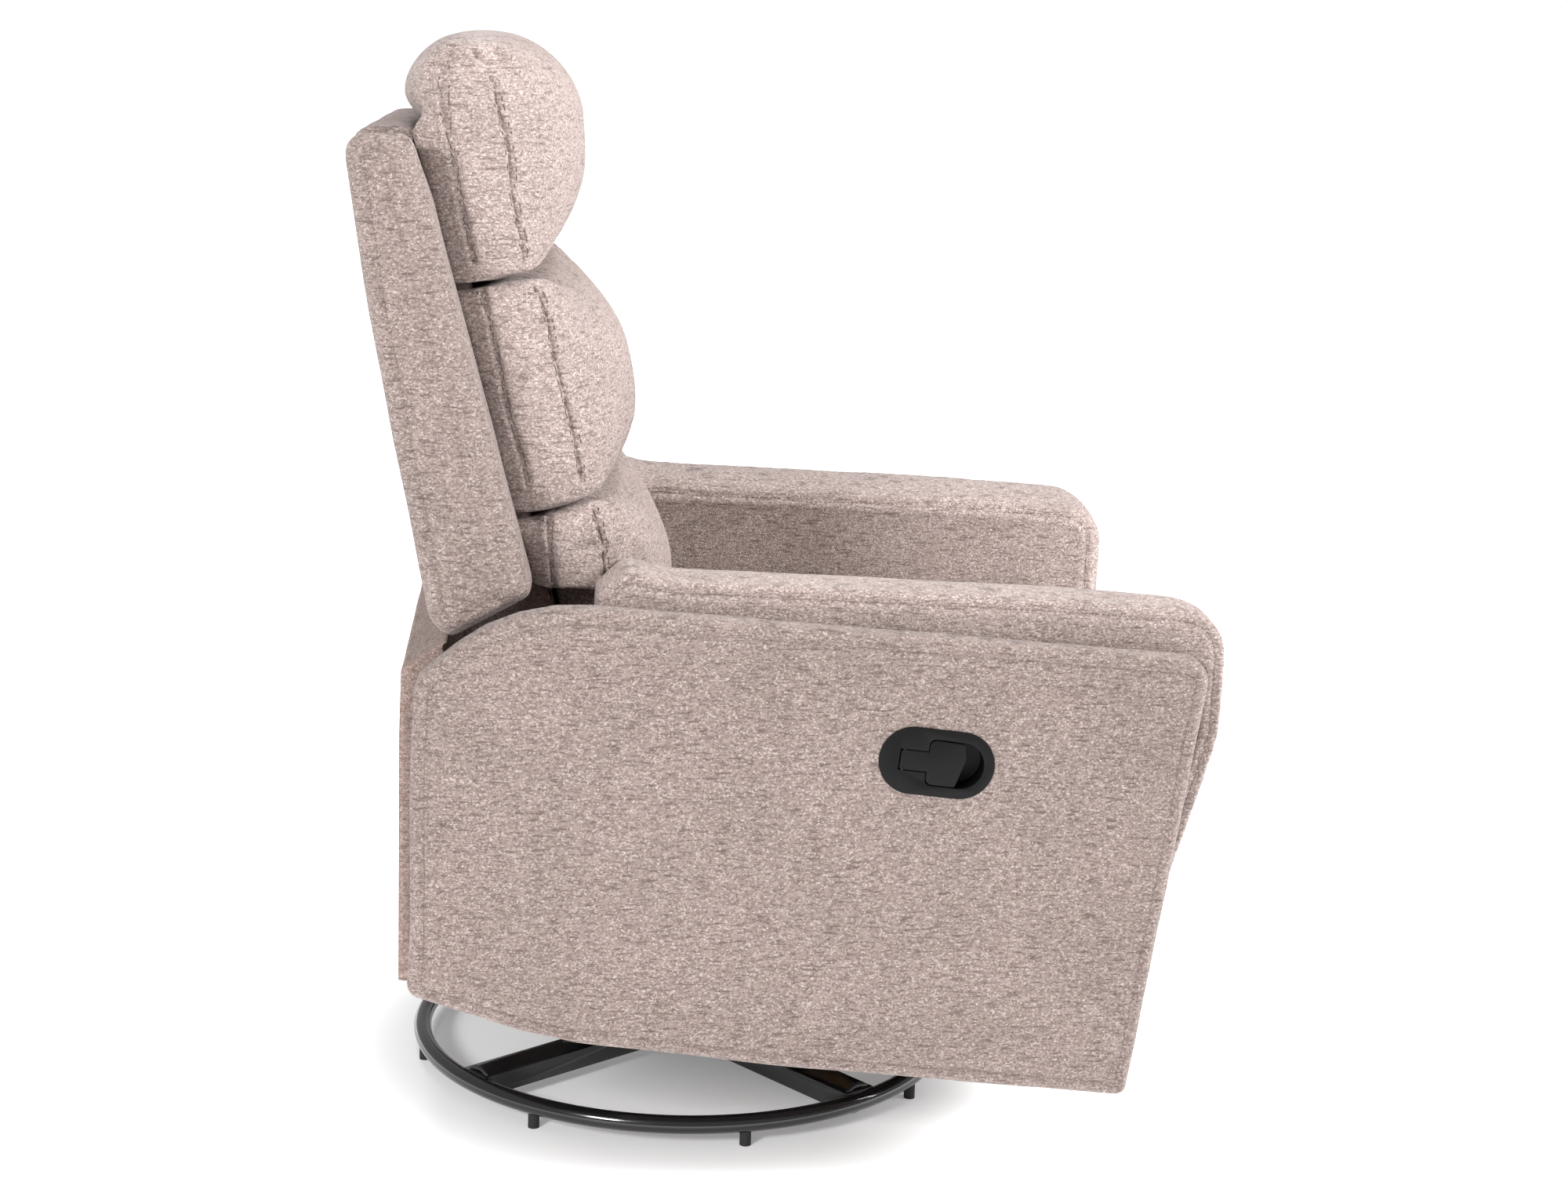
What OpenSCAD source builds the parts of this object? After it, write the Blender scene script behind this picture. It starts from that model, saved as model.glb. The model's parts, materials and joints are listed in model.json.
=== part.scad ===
/* [Overall] */
// Width over the outer faces of the two side panels
chair_w = 726; // [700:1:880]
// Depth from the fronts of the arms to the rear of the backrest
chair_d = 788; // [760:1:950]
// Height of the top of the head pillow
chair_h = 1030; // [1000:1:1240]
// Height of the top of the seat cushion
seat_h = 455; // [440:1:475]

/* [Arms] */
// Height of the arm pad's top at its front
arm_h = 543; // [530:1:590]
// Width of one arm pad
arm_w = 110; // [90:1:135]
// Thickness of an upholstered side panel
panel_t = 30; // [24:1:38]
// Padding thickness around an arm's wooden frame
pad_wall = 20; // [14:1:26]
// Board thickness in an arm's wooden frame
arm_board = 18; // [12:1:24]
// Gap from the floor to the front corner of a side panel
panel_clear = 88; // [70:1:110]

/* [Seat] */
// Thickness of the seat cushion
cushion_t = 110; // [90:1:125]
// Height of the wooden seat rails
rail_h = 35; // [28:1:42]
// Thickness of the wooden seat rails
rail_t = 25; // [20:1:30]
// Number of sinuous springs in the seat
seat_spring_n = 5; // [3:1:7]

/* [Backrest] */
// Lean of the backrest behind upright
back_lean = 15; // [10:0.5:20]
// Height of the head pillow
head_h = 202; // [180:1:220]
// Height of the middle pillow
mid_h = 198; // [180:1:240]
// Width of the back pillows
pillow_w = 540; // [500:1:560]
// Width of the backrest over its two wings
wing_span = 656; // [640:1:662]
// Depth of a wing at its top
wing_top_d = 50; // [40:1:70]
// Height of the pillow's crown above the wings
crown_h = 82; // [70:1:100]
// Depth of the wooden back stiles
stile_d = 30; // [24:1:36]

/* [Base] */
// Radius of the ring's tube centre line
ring_r = 269.5; // [240:0.5:320]
// Diameter of the ring's tube
ring_tube = 18; // [16:0.5:25]
// Width of a cross bar
bar_w = 35; // [30:1:40]
// Height of a cross bar
bar_h = 20; // [16:1:24]
// Angle of the cross in plan
cross_turn = 38; // [0:1:89]
// Number of feet under the ring
foot_n = 8; // [4:1:12]
// Swivel axis ahead of the recline pivot
swivel_set = 130; // [110:1:160]

/* [Glide] */
// Length of a glide link between its pins
glide_l = 100; // [80:1:120]
// Distance between the front and the rear glide links
glide_span = 220; // [180:1:240]
// Radius of a glide pin
glide_pin_r = 5; // [4:0.5:7]
// Width over the uprights of the glide stand
stand_w = 236; // [200:2:260]

/* [Footrest] */
// Length of a scissor link between its end pins
scissor_l = 200; // [160:1:205]
// Radius of a scissor pin
scissor_pin_r = 4; // [3:0.5:5]
// Width of a scissor link
scissor_w = 18; // [14:1:20]
// Length of the footrest board
footrest_l = 222; // [180:1:225]
// Thickness of the footrest pad
footrest_pad_t = 46; // [30:1:50]

/* [Release] */
// Length of the handle's bezel
bezel_l = 105; // [90:1:120]
// Height of the handle's bezel
bezel_h = 62; // [50:1:70]

/* [Hidden] */
$fn = 64;

fabric = [0.70, 0.62, 0.60];
steel = [0.10, 0.10, 0.11];
zinc = [0.62, 0.62, 0.64];
timber = [0.72, 0.56, 0.38];
black = [0.06, 0.06, 0.07];

// Clearances: running fits, plates that pass each other, soft parts that pass each other
run = 0.05;
side_gap = 1.5;
soft_gap = 5;

// Overall limits
y_front = -chair_d / 2;
y_rear = chair_d / 2;
panel_x1 = chair_w / 2;
panel_x0 = panel_x1 - panel_t;
pad_x0 = panel_x0 - arm_w;
wing_top = chair_h - crown_h;

// Recline pivot and the line that the backrest follows
pivot_z = seat_h - 40;
lean = tan(back_lean);
pivot_y = y_rear - wing_top_d - (wing_top - pivot_z) * lean;
function lean_y(z) = pivot_y + (z - pivot_z) * lean;

// Line along the front edges of the side panels
front_lean = 7.6;
panel_top_z = arm_h - 40;
function front_y(z) = y_front + 17 + (panel_top_z - z) * tan(front_lean);

// Base
ring_y = pivot_y - swivel_set;
foot_h = 13;
ring_z = foot_h + ring_tube / 2;
foot_r = 5.5;
foot_turn = 10.5;
foot_sunk = 6;
plate_r = 110;
plate_t = 5;
bar_top = ring_z + bar_h / 2;
bearing_r = 90;
bearing_w = 12;
bearing_t = 8;
upper_z = bar_top + plate_t + bearing_t;
post_r = 9;

// Glide stand and its hanging links
upright_t = 4;
link_t = 5;
link_w = 24;
stand_z = upper_z + plate_t;
hang_z = stand_z + 165;
low_pin_z = hang_z - glide_l;
upright_x = stand_w / 2;
link_x = upright_x + side_gap;
rail_x = link_x + link_t + side_gap;
glide_rail_t = 4;
front_link_y = ring_y - glide_span / 2;
rear_link_y = ring_y + glide_span / 2;
bolt_r = 4;
bolt_gap = 0.2;

// Seat frame
cushion_z = seat_h - cushion_t;
deck_t = 4;
rail_top = cushion_z - deck_t - 6;
rail_z = rail_top - rail_h;
beam = 25;
beam_z = rail_z - beam;
seat_rail_x1 = pad_x0 - 13;
seat_rail_x0 = seat_rail_x1 - rail_t;
front_beam_y = front_link_y - beam / 2;
rear_beam_y = rear_link_y - beam / 2;
spring_r = 3;
cushion_front = y_front + 24;
cushion_rear = pivot_y - 50;

// Footrest scissor, closed at rest
closed_turn = 82;
plate_thin = 4;
bracket_x = seat_rail_x0 - plate_thin;
outer_link_x = bracket_x - side_gap - plate_thin;
inner_link_x = outer_link_x - side_gap - plate_thin;
flip_x = inner_link_x - side_gap - plate_thin;
lip_drop = 20;
scissor_step = scissor_l * cos(closed_turn);
scissor_drop = scissor_l * sin(closed_turn);
board_set = 20;
board_t = 12;
a_start = [y_front + 29 + board_set + board_t + footrest_pad_t + 2 * scissor_step + 4, rail_top - lip_drop];
a_mid = a_start + [-scissor_step, -scissor_drop] / 2;
a_end = a_start + [-scissor_step, -scissor_drop];
b_start = a_start + [0, -scissor_drop];
b_end = a_start + [-scissor_step, 0];
c_mid = a_mid + [-scissor_step, 0];
c_end = a_start + [-2 * scissor_step, 0];
tail = 32;
d_tail = c_mid + tail * [-cos(closed_turn), -sin(closed_turn)];
flip_arm = 28;
flip_pin = c_end + flip_arm * [sin(5), -cos(5)];
flip_eye = 4.6;
hinge_web = 0.575 * scissor_step;
tube_share = 0.62;
scissor_tube_at = a_start + tube_share * [-scissor_step, -scissor_drop];

// Handle, set into the right-hand side panel (-X), its long axis dropping towards the front
handle_at = [y_front + 264, arm_h - 135];
handle_drop = 6;
bezel_proud = 2.5;
bezel_rim = 9.5;
cup_depth = 20;
cup_wall = 3;
paddle_gap = 0.9;
paddle_sunk = 0.3;
paddle_t = 4;
stem_h = 18;
stem_rear = 33;
shoulder = 8;
blade_front = 26;
blade_h = 41;
paddle_pin_back = 3;
paddle_pin_in = 3.3;
paddle_pin_r = 1.5;

// Kick lever that pushes the footrest tube off its rest
kick_pivot = scissor_tube_at + [62, 22];
kick_x = 12;

function unit(v) = v / norm(v);
function short_way(a) = a > 180 ? a - 360 : a < -180 ? a + 360 : a;
function polar(c, r, a) = c + r * [cos(a), sin(a)];
function arc_points(c, r, a0, sweep, n) = [for (i = [0:n]) polar(c, r, a0 + sweep * i / n)];

// Arc of radius r that rounds the corner q between its neighbours p and s
function corner_arc(p, q, s, r) =
    let (u = unit(p - q), v = unit(s - q), half = acos(u * v) / 2)
    let (c = q + unit(u + v) * r / sin(half))
    let (from = q + u * r / tan(half) - c, to = q + v * r / tan(half) - c)
    let (a0 = atan2(from.y, from.x), sweep = short_way(atan2(to.y, to.x) - a0))
    arc_points(c, r, a0, sweep, max(1, ceil(abs(sweep) / 12)));

// Outline through corners given as [y, z, radius]
function rounded(k) = [for (i = [0:len(k) - 1])
    let (n = len(k), p = k[(i + n - 1) % n], q = k[i], s = k[(i + 1) % n])
    each (q.z == 0 ? [[q.x, q.y]] : corner_arc([p.x, p.y], [q.x, q.y], [s.x, s.y], q.z))];

// Stands a (y, z) drawing up and gives it thickness from x0 to x1
module slab(x0, x1) {
    translate([x0, 0, 0]) rotate([90, 0, 90]) linear_extrude(x1 - x0) children();
}

module mirrored() {
    children();
    mirror([1, 0, 0]) children();
}

module rod_x(at, r, x0, x1) {
    translate([x0, at.x, at.y]) rotate([0, 90, 0]) cylinder(r = r, h = x1 - x0);
}

module strap(p, q, w) {
    a = atan2(q.y - p.y, q.x - p.x);
    polygon(concat(arc_points(q, w / 2, a - 90, 180, 16), arc_points(p, w / 2, a + 90, 180, 16)));
}

module strap_with_holes(p, q, w, r) {
    difference() {
        strap(p, q, w);
        translate(p) circle(r = r);
        translate(q) circle(r = r);
    }
}

module at_swivel() {
    translate([0, ring_y, 0]) children();
}

// ---- Base ----
module ring_solid(r) {
    at_swivel() translate([0, 0, ring_z]) rotate_extrude($fn = 96) translate([ring_r, 0]) circle(r = r);
}

module base_ring() {
    color(black) ring_solid(ring_tube / 2);
}

module base_cross() {
    color(black) difference() {
        at_swivel() for (a = [cross_turn, cross_turn + 90])
            rotate(a) translate([-ring_r, -bar_w / 2, ring_z - bar_h / 2]) cube([2 * ring_r, bar_w, bar_h]);
        ring_solid(ring_tube / 2);
        at_swivel() cylinder(r = post_r, h = stand_z);
        at_swivel() rotate_extrude($fn = 96) translate([ring_r - 1, 0]) square([bar_w, ring_z + bar_h]);
    }
}

module ring_feet() {
    color(black) difference() {
        at_swivel() for (i = [0:foot_n - 1]) rotate(foot_turn + i * 360 / foot_n)
            translate([ring_r, 0, 0]) cylinder(r = foot_r, h = foot_h + foot_sunk);
        ring_solid(ring_tube / 2);
    }
}

module round_plate(z, hole) {
    at_swivel() translate([0, 0, z]) difference() {
        cylinder(r = plate_r, h = plate_t);
        translate([0, 0, -1]) cylinder(r = hole, h = plate_t + 2);
    }
}

module lower_plate() {
    color(steel) round_plate(bar_top, post_r);
}

post_head_z = upper_z + plate_t + side_gap;

module swivel_post() {
    color(zinc) at_swivel() {
        translate([0, 0, bar_top - bar_h]) cylinder(r = post_r, h = post_head_z - bar_top + bar_h);
        translate([0, 0, post_head_z]) cylinder(r = post_r + 8, h = 6);
    }
}

module bearing_ring() {
    color(zinc) at_swivel() translate([0, 0, bar_top + plate_t]) difference() {
        cylinder(r = bearing_r, h = bearing_t - 0.3);
        translate([0, 0, -1]) cylinder(r = bearing_r - bearing_w, h = bearing_t + 2);
    }
}

// ---- Swivelling stand ----
stand_bolt_y = [-glide_span / 2 + 55, glide_span / 2 - 55];
flange_w = 34;
stand_bolt_x = upright_x - flange_w / 2 - upright_t / 2;

module stand_bolt_places() {
    at_swivel() for (x = [-stand_bolt_x, stand_bolt_x], y = stand_bolt_y) translate([x, y, 0]) children();
}

module upper_plate() {
    color(steel) difference() {
        at_swivel() translate([0, 0, upper_z]) difference() {
            translate([-upright_x, -glide_span / 2 - 15, 0]) cube([2 * upright_x, glide_span + 30, plate_t]);
            translate([0, 0, -1]) cylinder(r = post_r + run, h = plate_t + 2);
        }
        stand_bolt_places() cylinder(r = bolt_r + bolt_gap, h = hang_z);
    }
}

module upright() {
    slab(upright_x - upright_t, upright_x) difference() {
        polygon([[front_link_y - 15, stand_z], [rear_link_y + 15, stand_z], [rear_link_y + 15, hang_z + 14],
            [rear_link_y - 15, hang_z + 14], [ring_y, stand_z + 60], [front_link_y + 15, hang_z + 14],
            [front_link_y - 15, hang_z + 14]]);
        translate([front_link_y, hang_z]) circle(r = glide_pin_r);
        translate([rear_link_y, hang_z]) circle(r = glide_pin_r);
    }
    translate([upright_x - flange_w, front_link_y - 15, stand_z])
        cube([flange_w - upright_t, glide_span + 30, upright_t]);
}

module stand_uprights() {
    color(steel) difference() {
        mirrored() upright();
        stand_bolt_places() cylinder(r = bolt_r + bolt_gap, h = hang_z);
    }
}

module stand_bolts() {
    color(zinc) stand_bolt_places() {
        translate([0, 0, upper_z]) cylinder(r = bolt_r, h = plate_t + upright_t + 1);
        translate([0, 0, stand_z + upright_t]) cylinder(r = 7, h = 5, $fn = 6);
    }
}

module glide_pin(y, z, x0, x1, head_x) {
    rod_x([y, z], glide_pin_r, x0, x1);
    rod_x([y, z], glide_pin_r + 3, head_x, head_x + 3);
}

module hanger_pins() {
    color(zinc) mirrored() for (y = [front_link_y, rear_link_y])
        glide_pin(y, hang_z, upright_x - upright_t - 3, link_x + link_t + 0.5, upright_x - upright_t - 3);
}

// ---- Glide links ----
module glide_links(y) {
    color(steel) mirrored() slab(link_x, link_x + link_t)
        strap_with_holes([y, hang_z], [y, low_pin_z], link_w, glide_pin_r + run);
}

module front_glide_links() {
    glide_links(front_link_y);
}

module rear_glide_links() {
    glide_links(rear_link_y);
}

// ---- Carriage under the seat ----
module glide_rail_shape() {
    difference() {
        polygon([[front_link_y - 18, low_pin_z - 14], [rear_link_y + 18, low_pin_z - 14],
            [rear_link_y + 18, beam_z], [front_link_y - 18, beam_z]]);
        translate([front_link_y, low_pin_z]) circle(r = glide_pin_r);
        translate([rear_link_y, low_pin_z]) circle(r = glide_pin_r);
    }
}

module glide_rails() {
    color(steel) mirrored() slab(rail_x, rail_x + glide_rail_t) glide_rail_shape();
}

module carrier_pins() {
    color(zinc) mirrored() for (y = [front_link_y, rear_link_y])
        glide_pin(y, low_pin_z, link_x - 0.5, rail_x + glide_rail_t, rail_x + glide_rail_t);
}

beam_end = panel_x0 - arm_board;

module cross_beams() {
    color(steel) for (y = [front_beam_y, rear_beam_y])
        translate([-beam_end, y, beam_z]) cube([2 * beam_end, beam, beam]);
}

seat_rail_front = c_end.x - 6;
seat_rail_rear = pivot_y - 10;
back_rail_y = seat_rail_rear - rail_t;
fore_rail_y = a_start.x + 28;

module seat_side_rails() {
    color(timber) difference() {
        mirrored() translate([seat_rail_x0, seat_rail_front, rail_z])
            cube([rail_t, seat_rail_rear - seat_rail_front, rail_h]);
        hinge_bolt_places(bolt_r + bolt_gap);
    }
}

module seat_cross_rails() {
    color(timber) for (y = [fore_rail_y, back_rail_y])
        translate([-seat_rail_x0, y, rail_z]) cube([2 * seat_rail_x0, rail_t, rail_h]);
}

module seat_lip() {
    color(timber) translate([-seat_rail_x1, seat_rail_front, rail_top])
        cube([2 * seat_rail_x1, 30, 6]);
}

// One sinuous spring from its front end to its rear end, as a flat zigzag
spring_pitch = 30;
spring_swing = 18;
function zigzag(length, swing, w) =
    let (n = floor(length / spring_pitch))
    concat(
        [for (i = [0:n]) [(i % 2 == 0 ? -swing : swing) - w / 2, i * length / n]],
        [for (i = [n:-1:0]) [(i % 2 == 0 ? -swing : swing) + w / 2, i * length / n]]);

module seat_springs() {
    span = back_rail_y + rail_t - fore_rail_y;
    color(zinc) for (i = [0:seat_spring_n - 1])
        translate([(i - (seat_spring_n - 1) / 2) * 2 * seat_rail_x0 / seat_spring_n, fore_rail_y, rail_top])
            linear_extrude(spring_r) polygon(zigzag(span, spring_swing, 2 * spring_r));
}

module seat_deck() {
    color(fabric) translate([-seat_rail_x1, seat_rail_front, cushion_z - deck_t])
        cube([2 * seat_rail_x1, cushion_rear - seat_rail_front, deck_t]);
}

module seat_cushion() {
    cushion_x = pad_x0 - 3;
    color(fabric) slab(-cushion_x, cushion_x) polygon(rounded([
        [cushion_front, cushion_z, 30], [cushion_front, seat_h, 48],
        [cushion_rear, seat_h, 20], [cushion_rear, cushion_z, 10]]));
}

// ---- Arms ----
panel_rear = y_rear - 54;
panel_tuck = 15;

module panel_outline() {
    polygon(rounded([
        [front_y(panel_clear), panel_clear, 10],
        [0, panel_clear + 29, 600],
        [y_rear - 182, panel_clear + 55, 250],
        [panel_rear - 1, panel_clear + 98, 14],
        [panel_rear - panel_tuck, panel_top_z - 27, 30],
        [y_rear - 152, arm_h + 3, 150],
        [front_y(panel_top_z), panel_top_z, 22]]));
}

module stadium(l, h) {
    translate([-(l - h) / 2, 0]) circle(d = h);
    translate([(l - h) / 2, 0]) circle(d = h);
    translate([-(l - h) / 2, -h / 2]) square([l - h, h]);
}

// Places a drawing on the handle: its x runs to the rear along the long axis, its y upwards
module at_handle() {
    translate(handle_at) rotate(handle_drop) children();
}

module side_panel() {
    slab(panel_x0, panel_x1) panel_outline();
}

module side_panel_left() {
    color(fabric) side_panel();
}

module side_panel_right() {
    color(fabric) difference() {
        mirror([1, 0, 0]) side_panel();
        slab(-panel_x1 - 1, cup_depth + cup_wall + 0.5 - panel_x1) at_handle()
            stadium(bezel_l - 10, bezel_h - 10);
        slab(-panel_x1 - 1, 1 - panel_x0) translate(cable_start) circle(r = cable_hole);
    }
}

pad_rear = pivot_y - 28;
pad_foot = panel_clear + 22;
foot_rise = 42;

// Padding over the top of an arm's frame, so that the frame stays behind the side panel
pad_over = arm_h - panel_top_z + 6;

// Height of an arm's foot, which rises to the rear with the lower edge of the side panel
function arm_foot_z(y) = pad_foot + foot_rise * (y - front_y(pad_foot)) / (pad_rear - front_y(pad_foot));

// Side drawing of an arm, drawn in by inset at its ends and by over at its top
module pad_outline(inset, over) {
    front = front_y(pad_foot) + inset;
    rear = pad_rear - inset;
    below = inset > 0 ? 1 : 0;
    polygon(rounded([
        [front, arm_foot_z(front) - below, inset > 0 ? 0 : 10],
        [front_y(arm_h - 300) + inset, arm_h - 300, 80],
        [y_front + inset, arm_h - 115, 120],
        [y_front + inset, arm_h - over, 42 - inset],
        [y_front + 154, arm_h + 10 - over, 300],
        [pad_rear - 60, arm_h + 22 - over, 90],
        [pad_rear - 24, arm_h + 32 - over, 16],
        [rear, arm_h + 8 - over, 12],
        [rear, arm_foot_z(rear) - below, inset > 0 ? 0 : 10]]));
}

frame_x0 = pad_x0 + pad_wall;

module beam_passage() {
    for (y = [front_beam_y, rear_beam_y])
        translate([pad_x0 - 1, y - 1, beam_z - 1]) cube([arm_w + 2, beam + 2, beam + 2]);
}

module arm_pad() {
    difference() {
        slab(pad_x0, panel_x0) pad_outline(0, 0);
        slab(frame_x0, panel_x0 + 1) pad_outline(pad_wall, pad_over);
        beam_passage();
    }
}

module arm_pad_left() {
    color(fabric) arm_pad();
}

module arm_pad_right() {
    color(fabric) difference() {
        mirror([1, 0, 0]) arm_pad();
        slab(-frame_x0 - 1, 1 - pad_x0) translate(cable_out) circle(r = cable_hole);
    }
}

// Wooden box frame inside an arm, with a stretcher that carries the cross beams
module arm_frame() {
    difference() {
        slab(frame_x0, panel_x0) pad_outline(pad_wall, pad_over);
        slab(frame_x0 - 1, panel_x0 + 1) difference() {
            pad_outline(pad_wall + arm_board, pad_over + arm_board);
            polygon([
                [y_front, arm_foot_z(y_front) - 2], [y_rear, arm_foot_z(y_rear) - 2],
                [y_rear, arm_foot_z(y_rear) + arm_board], [y_front, arm_foot_z(y_front) + arm_board]]);
            translate([y_front, beam_z - arm_board]) square([chair_d, arm_board]);
        }
    }
}

module arm_frame_left() {
    color(timber) arm_frame();
}

module arm_frame_right() {
    color(timber) mirror([1, 0, 0]) arm_frame();
}

// ---- Footrest brackets on the seat rails ----
module footrest_brackets() {
    top = rail_top;
    foot = b_start.y - 14;
    color(steel) mirrored() slab(bracket_x, seat_rail_x0) difference() {
        translate([a_start.x - 17, foot]) square([44, top - foot]);
        translate(a_start) circle(r = scissor_pin_r);
        strap(b_start, a_start - [0, scissor_l * sin(closed_turn - 70) - 2], 2 * scissor_pin_r + 0.8);
    }
}

module footrest_pivot_pins() {
    color(zinc) mirrored() rod_x(a_start, scissor_pin_r, inner_link_x - 1, bracket_x + plate_thin);
}

// ---- Recline hinge ----
hinge_x = seat_rail_x1;
back_plate_x = hinge_x + plate_thin + 0.5;
stile_x = back_plate_x + plate_thin;
pin_r = 5;
hinge_bolt_y = [pivot_y - 90, pivot_y - 40];
hinge_bolt_z = rail_z + rail_h / 2;

module hinge_bolt_places(r) {
    mirrored() for (y = hinge_bolt_y) rod_x([y, hinge_bolt_z], r, seat_rail_x0 - 1, hinge_x + plate_thin + 1);
}

module seat_hinge_plates() {
    color(steel) difference() {
        mirrored() slab(hinge_x, hinge_x + plate_thin) difference() {
            union() {
                strap([pivot_y, pivot_z], [pivot_y - 25, rail_z + 20], 40);
                translate([pivot_y - 110, rail_z]) square([100, rail_h]);
            }
            translate([pivot_y, pivot_z]) circle(r = pin_r);
        }
        hinge_bolt_places(bolt_r + bolt_gap);
    }
}

module recline_pins() {
    color(zinc) mirrored() {
        rod_x([pivot_y, pivot_z], pin_r, hinge_x - 3, back_plate_x + plate_thin - 0.5);
        rod_x([pivot_y, pivot_z], pin_r + 3, hinge_x - 3, hinge_x);
    }
}

module hinge_bolts() {
    color(zinc) mirrored() for (y = hinge_bolt_y) {
        rod_x([y, hinge_bolt_z], bolt_r, seat_rail_x0 - 1, hinge_x + plate_thin);
        rod_x([y, hinge_bolt_z], bolt_r + 3, hinge_x + plate_thin, hinge_x + plate_thin + 3);
    }
}

// ---- Release handle ----
// The handle is drawn with x to the rear along its long axis and y upwards
module at_handle_depth(x0, x1) {
    slab(x0, x1) at_handle() children();
}

pocket_h = bezel_h - 2 * bezel_rim;
pocket_front = bezel_l / 2 - bezel_rim;

// T-shaped opening: a slot for the stem, then a round-ended pocket for the blade and the fingers
module handle_opening() {
    half = stem_h / 2 + paddle_gap;
    translate([0, -half]) square([stem_rear + 1.2, 2 * half]);
    polygon(rounded([
        [shoulder + paddle_gap, pocket_h / 2, 6], [-pocket_front, pocket_h / 2, pocket_h / 2 - 0.1],
        [-pocket_front, -pocket_h / 2, pocket_h / 2 - 0.1], [shoulder + paddle_gap, -pocket_h / 2, 6]]));
}

module paddle_shape() {
    top = blade_h / 2;
    polygon(rounded([
        [shoulder, stem_h / 2, 0], [shoulder, top, 6], [-blade_front + 3, top - 1, 3], [-blade_front, 6, 8],
        [-blade_front + 7, -top, 3], [shoulder, -top, 6], [shoulder, -stem_h / 2, 0],
        [stem_rear, -stem_h / 2, 2], [stem_rear, stem_h / 2, 2]]));
}

module handle_bezel() {
    back = cup_depth + cup_wall - panel_x1;
    color(black) difference() {
        union() {
            at_handle_depth(-panel_x1 - bezel_proud, -panel_x1) stadium(bezel_l, bezel_h);
            at_handle_depth(-panel_x1, back) stadium(bezel_l - 11, bezel_h - 11);
        }
        at_handle_depth(-panel_x1 - bezel_proud - 1, back - cup_wall) handle_opening();
        slab(back - cup_wall - 1, back + 1) translate(cable_start) circle(r = 3);
        place_handle_pin(paddle_pin_r, stem_h + 6);
    }
}

// The paddle's pin stands across the slot, near the rear end of the paddle's stem
module place_handle_pin(r, l) {
    translate([paddle_face + paddle_pin_in, handle_at.x, handle_at.y]) rotate([handle_drop, 0, 0])
        translate([0, stem_rear - paddle_pin_back, -l / 2]) cylinder(r = r, h = l);
}

paddle_face = -panel_x1 - bezel_proud + paddle_sunk;

module handle_pin() {
    color(zinc) place_handle_pin(paddle_pin_r, stem_h + 6);
}

module release_paddle() {
    color(black) difference() {
        union() {
            at_handle_depth(paddle_face, paddle_face + paddle_t) paddle_shape();
            place_handle_pin(paddle_pin_in - 0.1, stem_h - 2);
        }
        place_handle_pin(paddle_pin_r + run, 3 * stem_h);
    }
}

// ---- Release cable and kick lever ----
// The cable drops inside the arm, comes out under the side rail and crosses to the kick bracket
cable_start = handle_at + [20, 0];
cable_end = kick_pivot + [18, 34];
cable_out = [cable_end.x, rail_z - 12];
cable_r = 2.5;
cable_hole = 6;
kick_bracket_x = kick_x + 6;
cable_back_x = panel_x1 - cup_depth - cup_wall;
cable_drop_x = (frame_x0 + panel_x0) / 2 + 12;
function at_depth(x, p) = [-x, p.x, p.y];
cable_in_arm = [at_depth(cable_back_x, cable_start), at_depth(cable_drop_x, cable_start),
    at_depth(cable_drop_x, cable_out), at_depth(frame_x0 + cable_hole, cable_out)];
cable_across = [at_depth(seat_rail_x0 - cable_hole, cable_out), at_depth(seat_rail_x0 * 2 / 3, cable_out),
    at_depth(seat_rail_x0 / 2, cable_end), at_depth(kick_bracket_x + 4, cable_end)];
function bezier(p, t) =
    let (s = 1 - t)
    s ^ 3 * p[0] + 3 * s ^ 2 * t * p[1] + 3 * s * t ^ 2 * p[2] + t ^ 3 * p[3];
cable_rings = 18;
function bend_points(p) = [for (i = [0:cable_rings]) bezier(p, i / cable_rings)];
cable_path = concat(bend_points(cable_in_arm), bend_points(cable_across));
function ring_points(c, d, r, n) =
    let (w = unit(d), u = unit(cross(w, [0, 0, 1])), v = cross(w, u))
    [for (i = [0:n - 1]) c + r * (cos(360 * i / n) * u + sin(360 * i / n) * v)];
function wall_faces(rings, n) = [for (i = [0:rings - 1], j = [0:n - 1])
    [i * n + j, (i + 1) * n + j, (i + 1) * n + (j + 1) % n, i * n + (j + 1) % n]];

module swept_tube(path, r, n) {
    last = len(path) - 1;
    points = [for (i = [0:last])
        let (along = path[min(i + 1, last)] - path[max(i - 1, 0)])
        each ring_points(path[i], along, r, n)];
    caps = [[for (j = [0:n - 1]) j], [for (j = [n - 1:-1:0]) last * n + j]];
    polyhedron(points, concat(wall_faces(last, n), caps));
}

module release_cable() {
    color(black) swept_tube(cable_path, cable_r, 8);
}

// Bracket that hangs from the fore seat rail and holds the kick lever's pin and the cable's end
module kick_bracket() {
    color(steel) {
        slab(-kick_bracket_x - 4, -kick_bracket_x) difference() {
            translate([fore_rail_y, kick_pivot.y - 14])
                square([cable_end.x + 12 - fore_rail_y, rail_z - kick_pivot.y + 14]);
            translate([cable_end.x, cable_end.y]) circle(r = 1.5);
        }
        rod_x(kick_pivot, 4, -kick_bracket_x, 6 - kick_x);
    }
}

module kick_lever() {
    color(zinc) slab(-kick_x - 5, -kick_x) difference() {
        union() {
            strap(kick_pivot, scissor_tube_at + [26, -2], 14);
            strap(kick_pivot, kick_pivot + [16, 20], 12);
        }
        translate(kick_pivot) circle(r = 4 + run);
    }
}

// ---- Backrest ----
stile_foot = pivot_z - 14;
stile_top = wing_top - 28;
back_rail_low = pivot_z + 45;
rail_set = 8;

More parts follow.
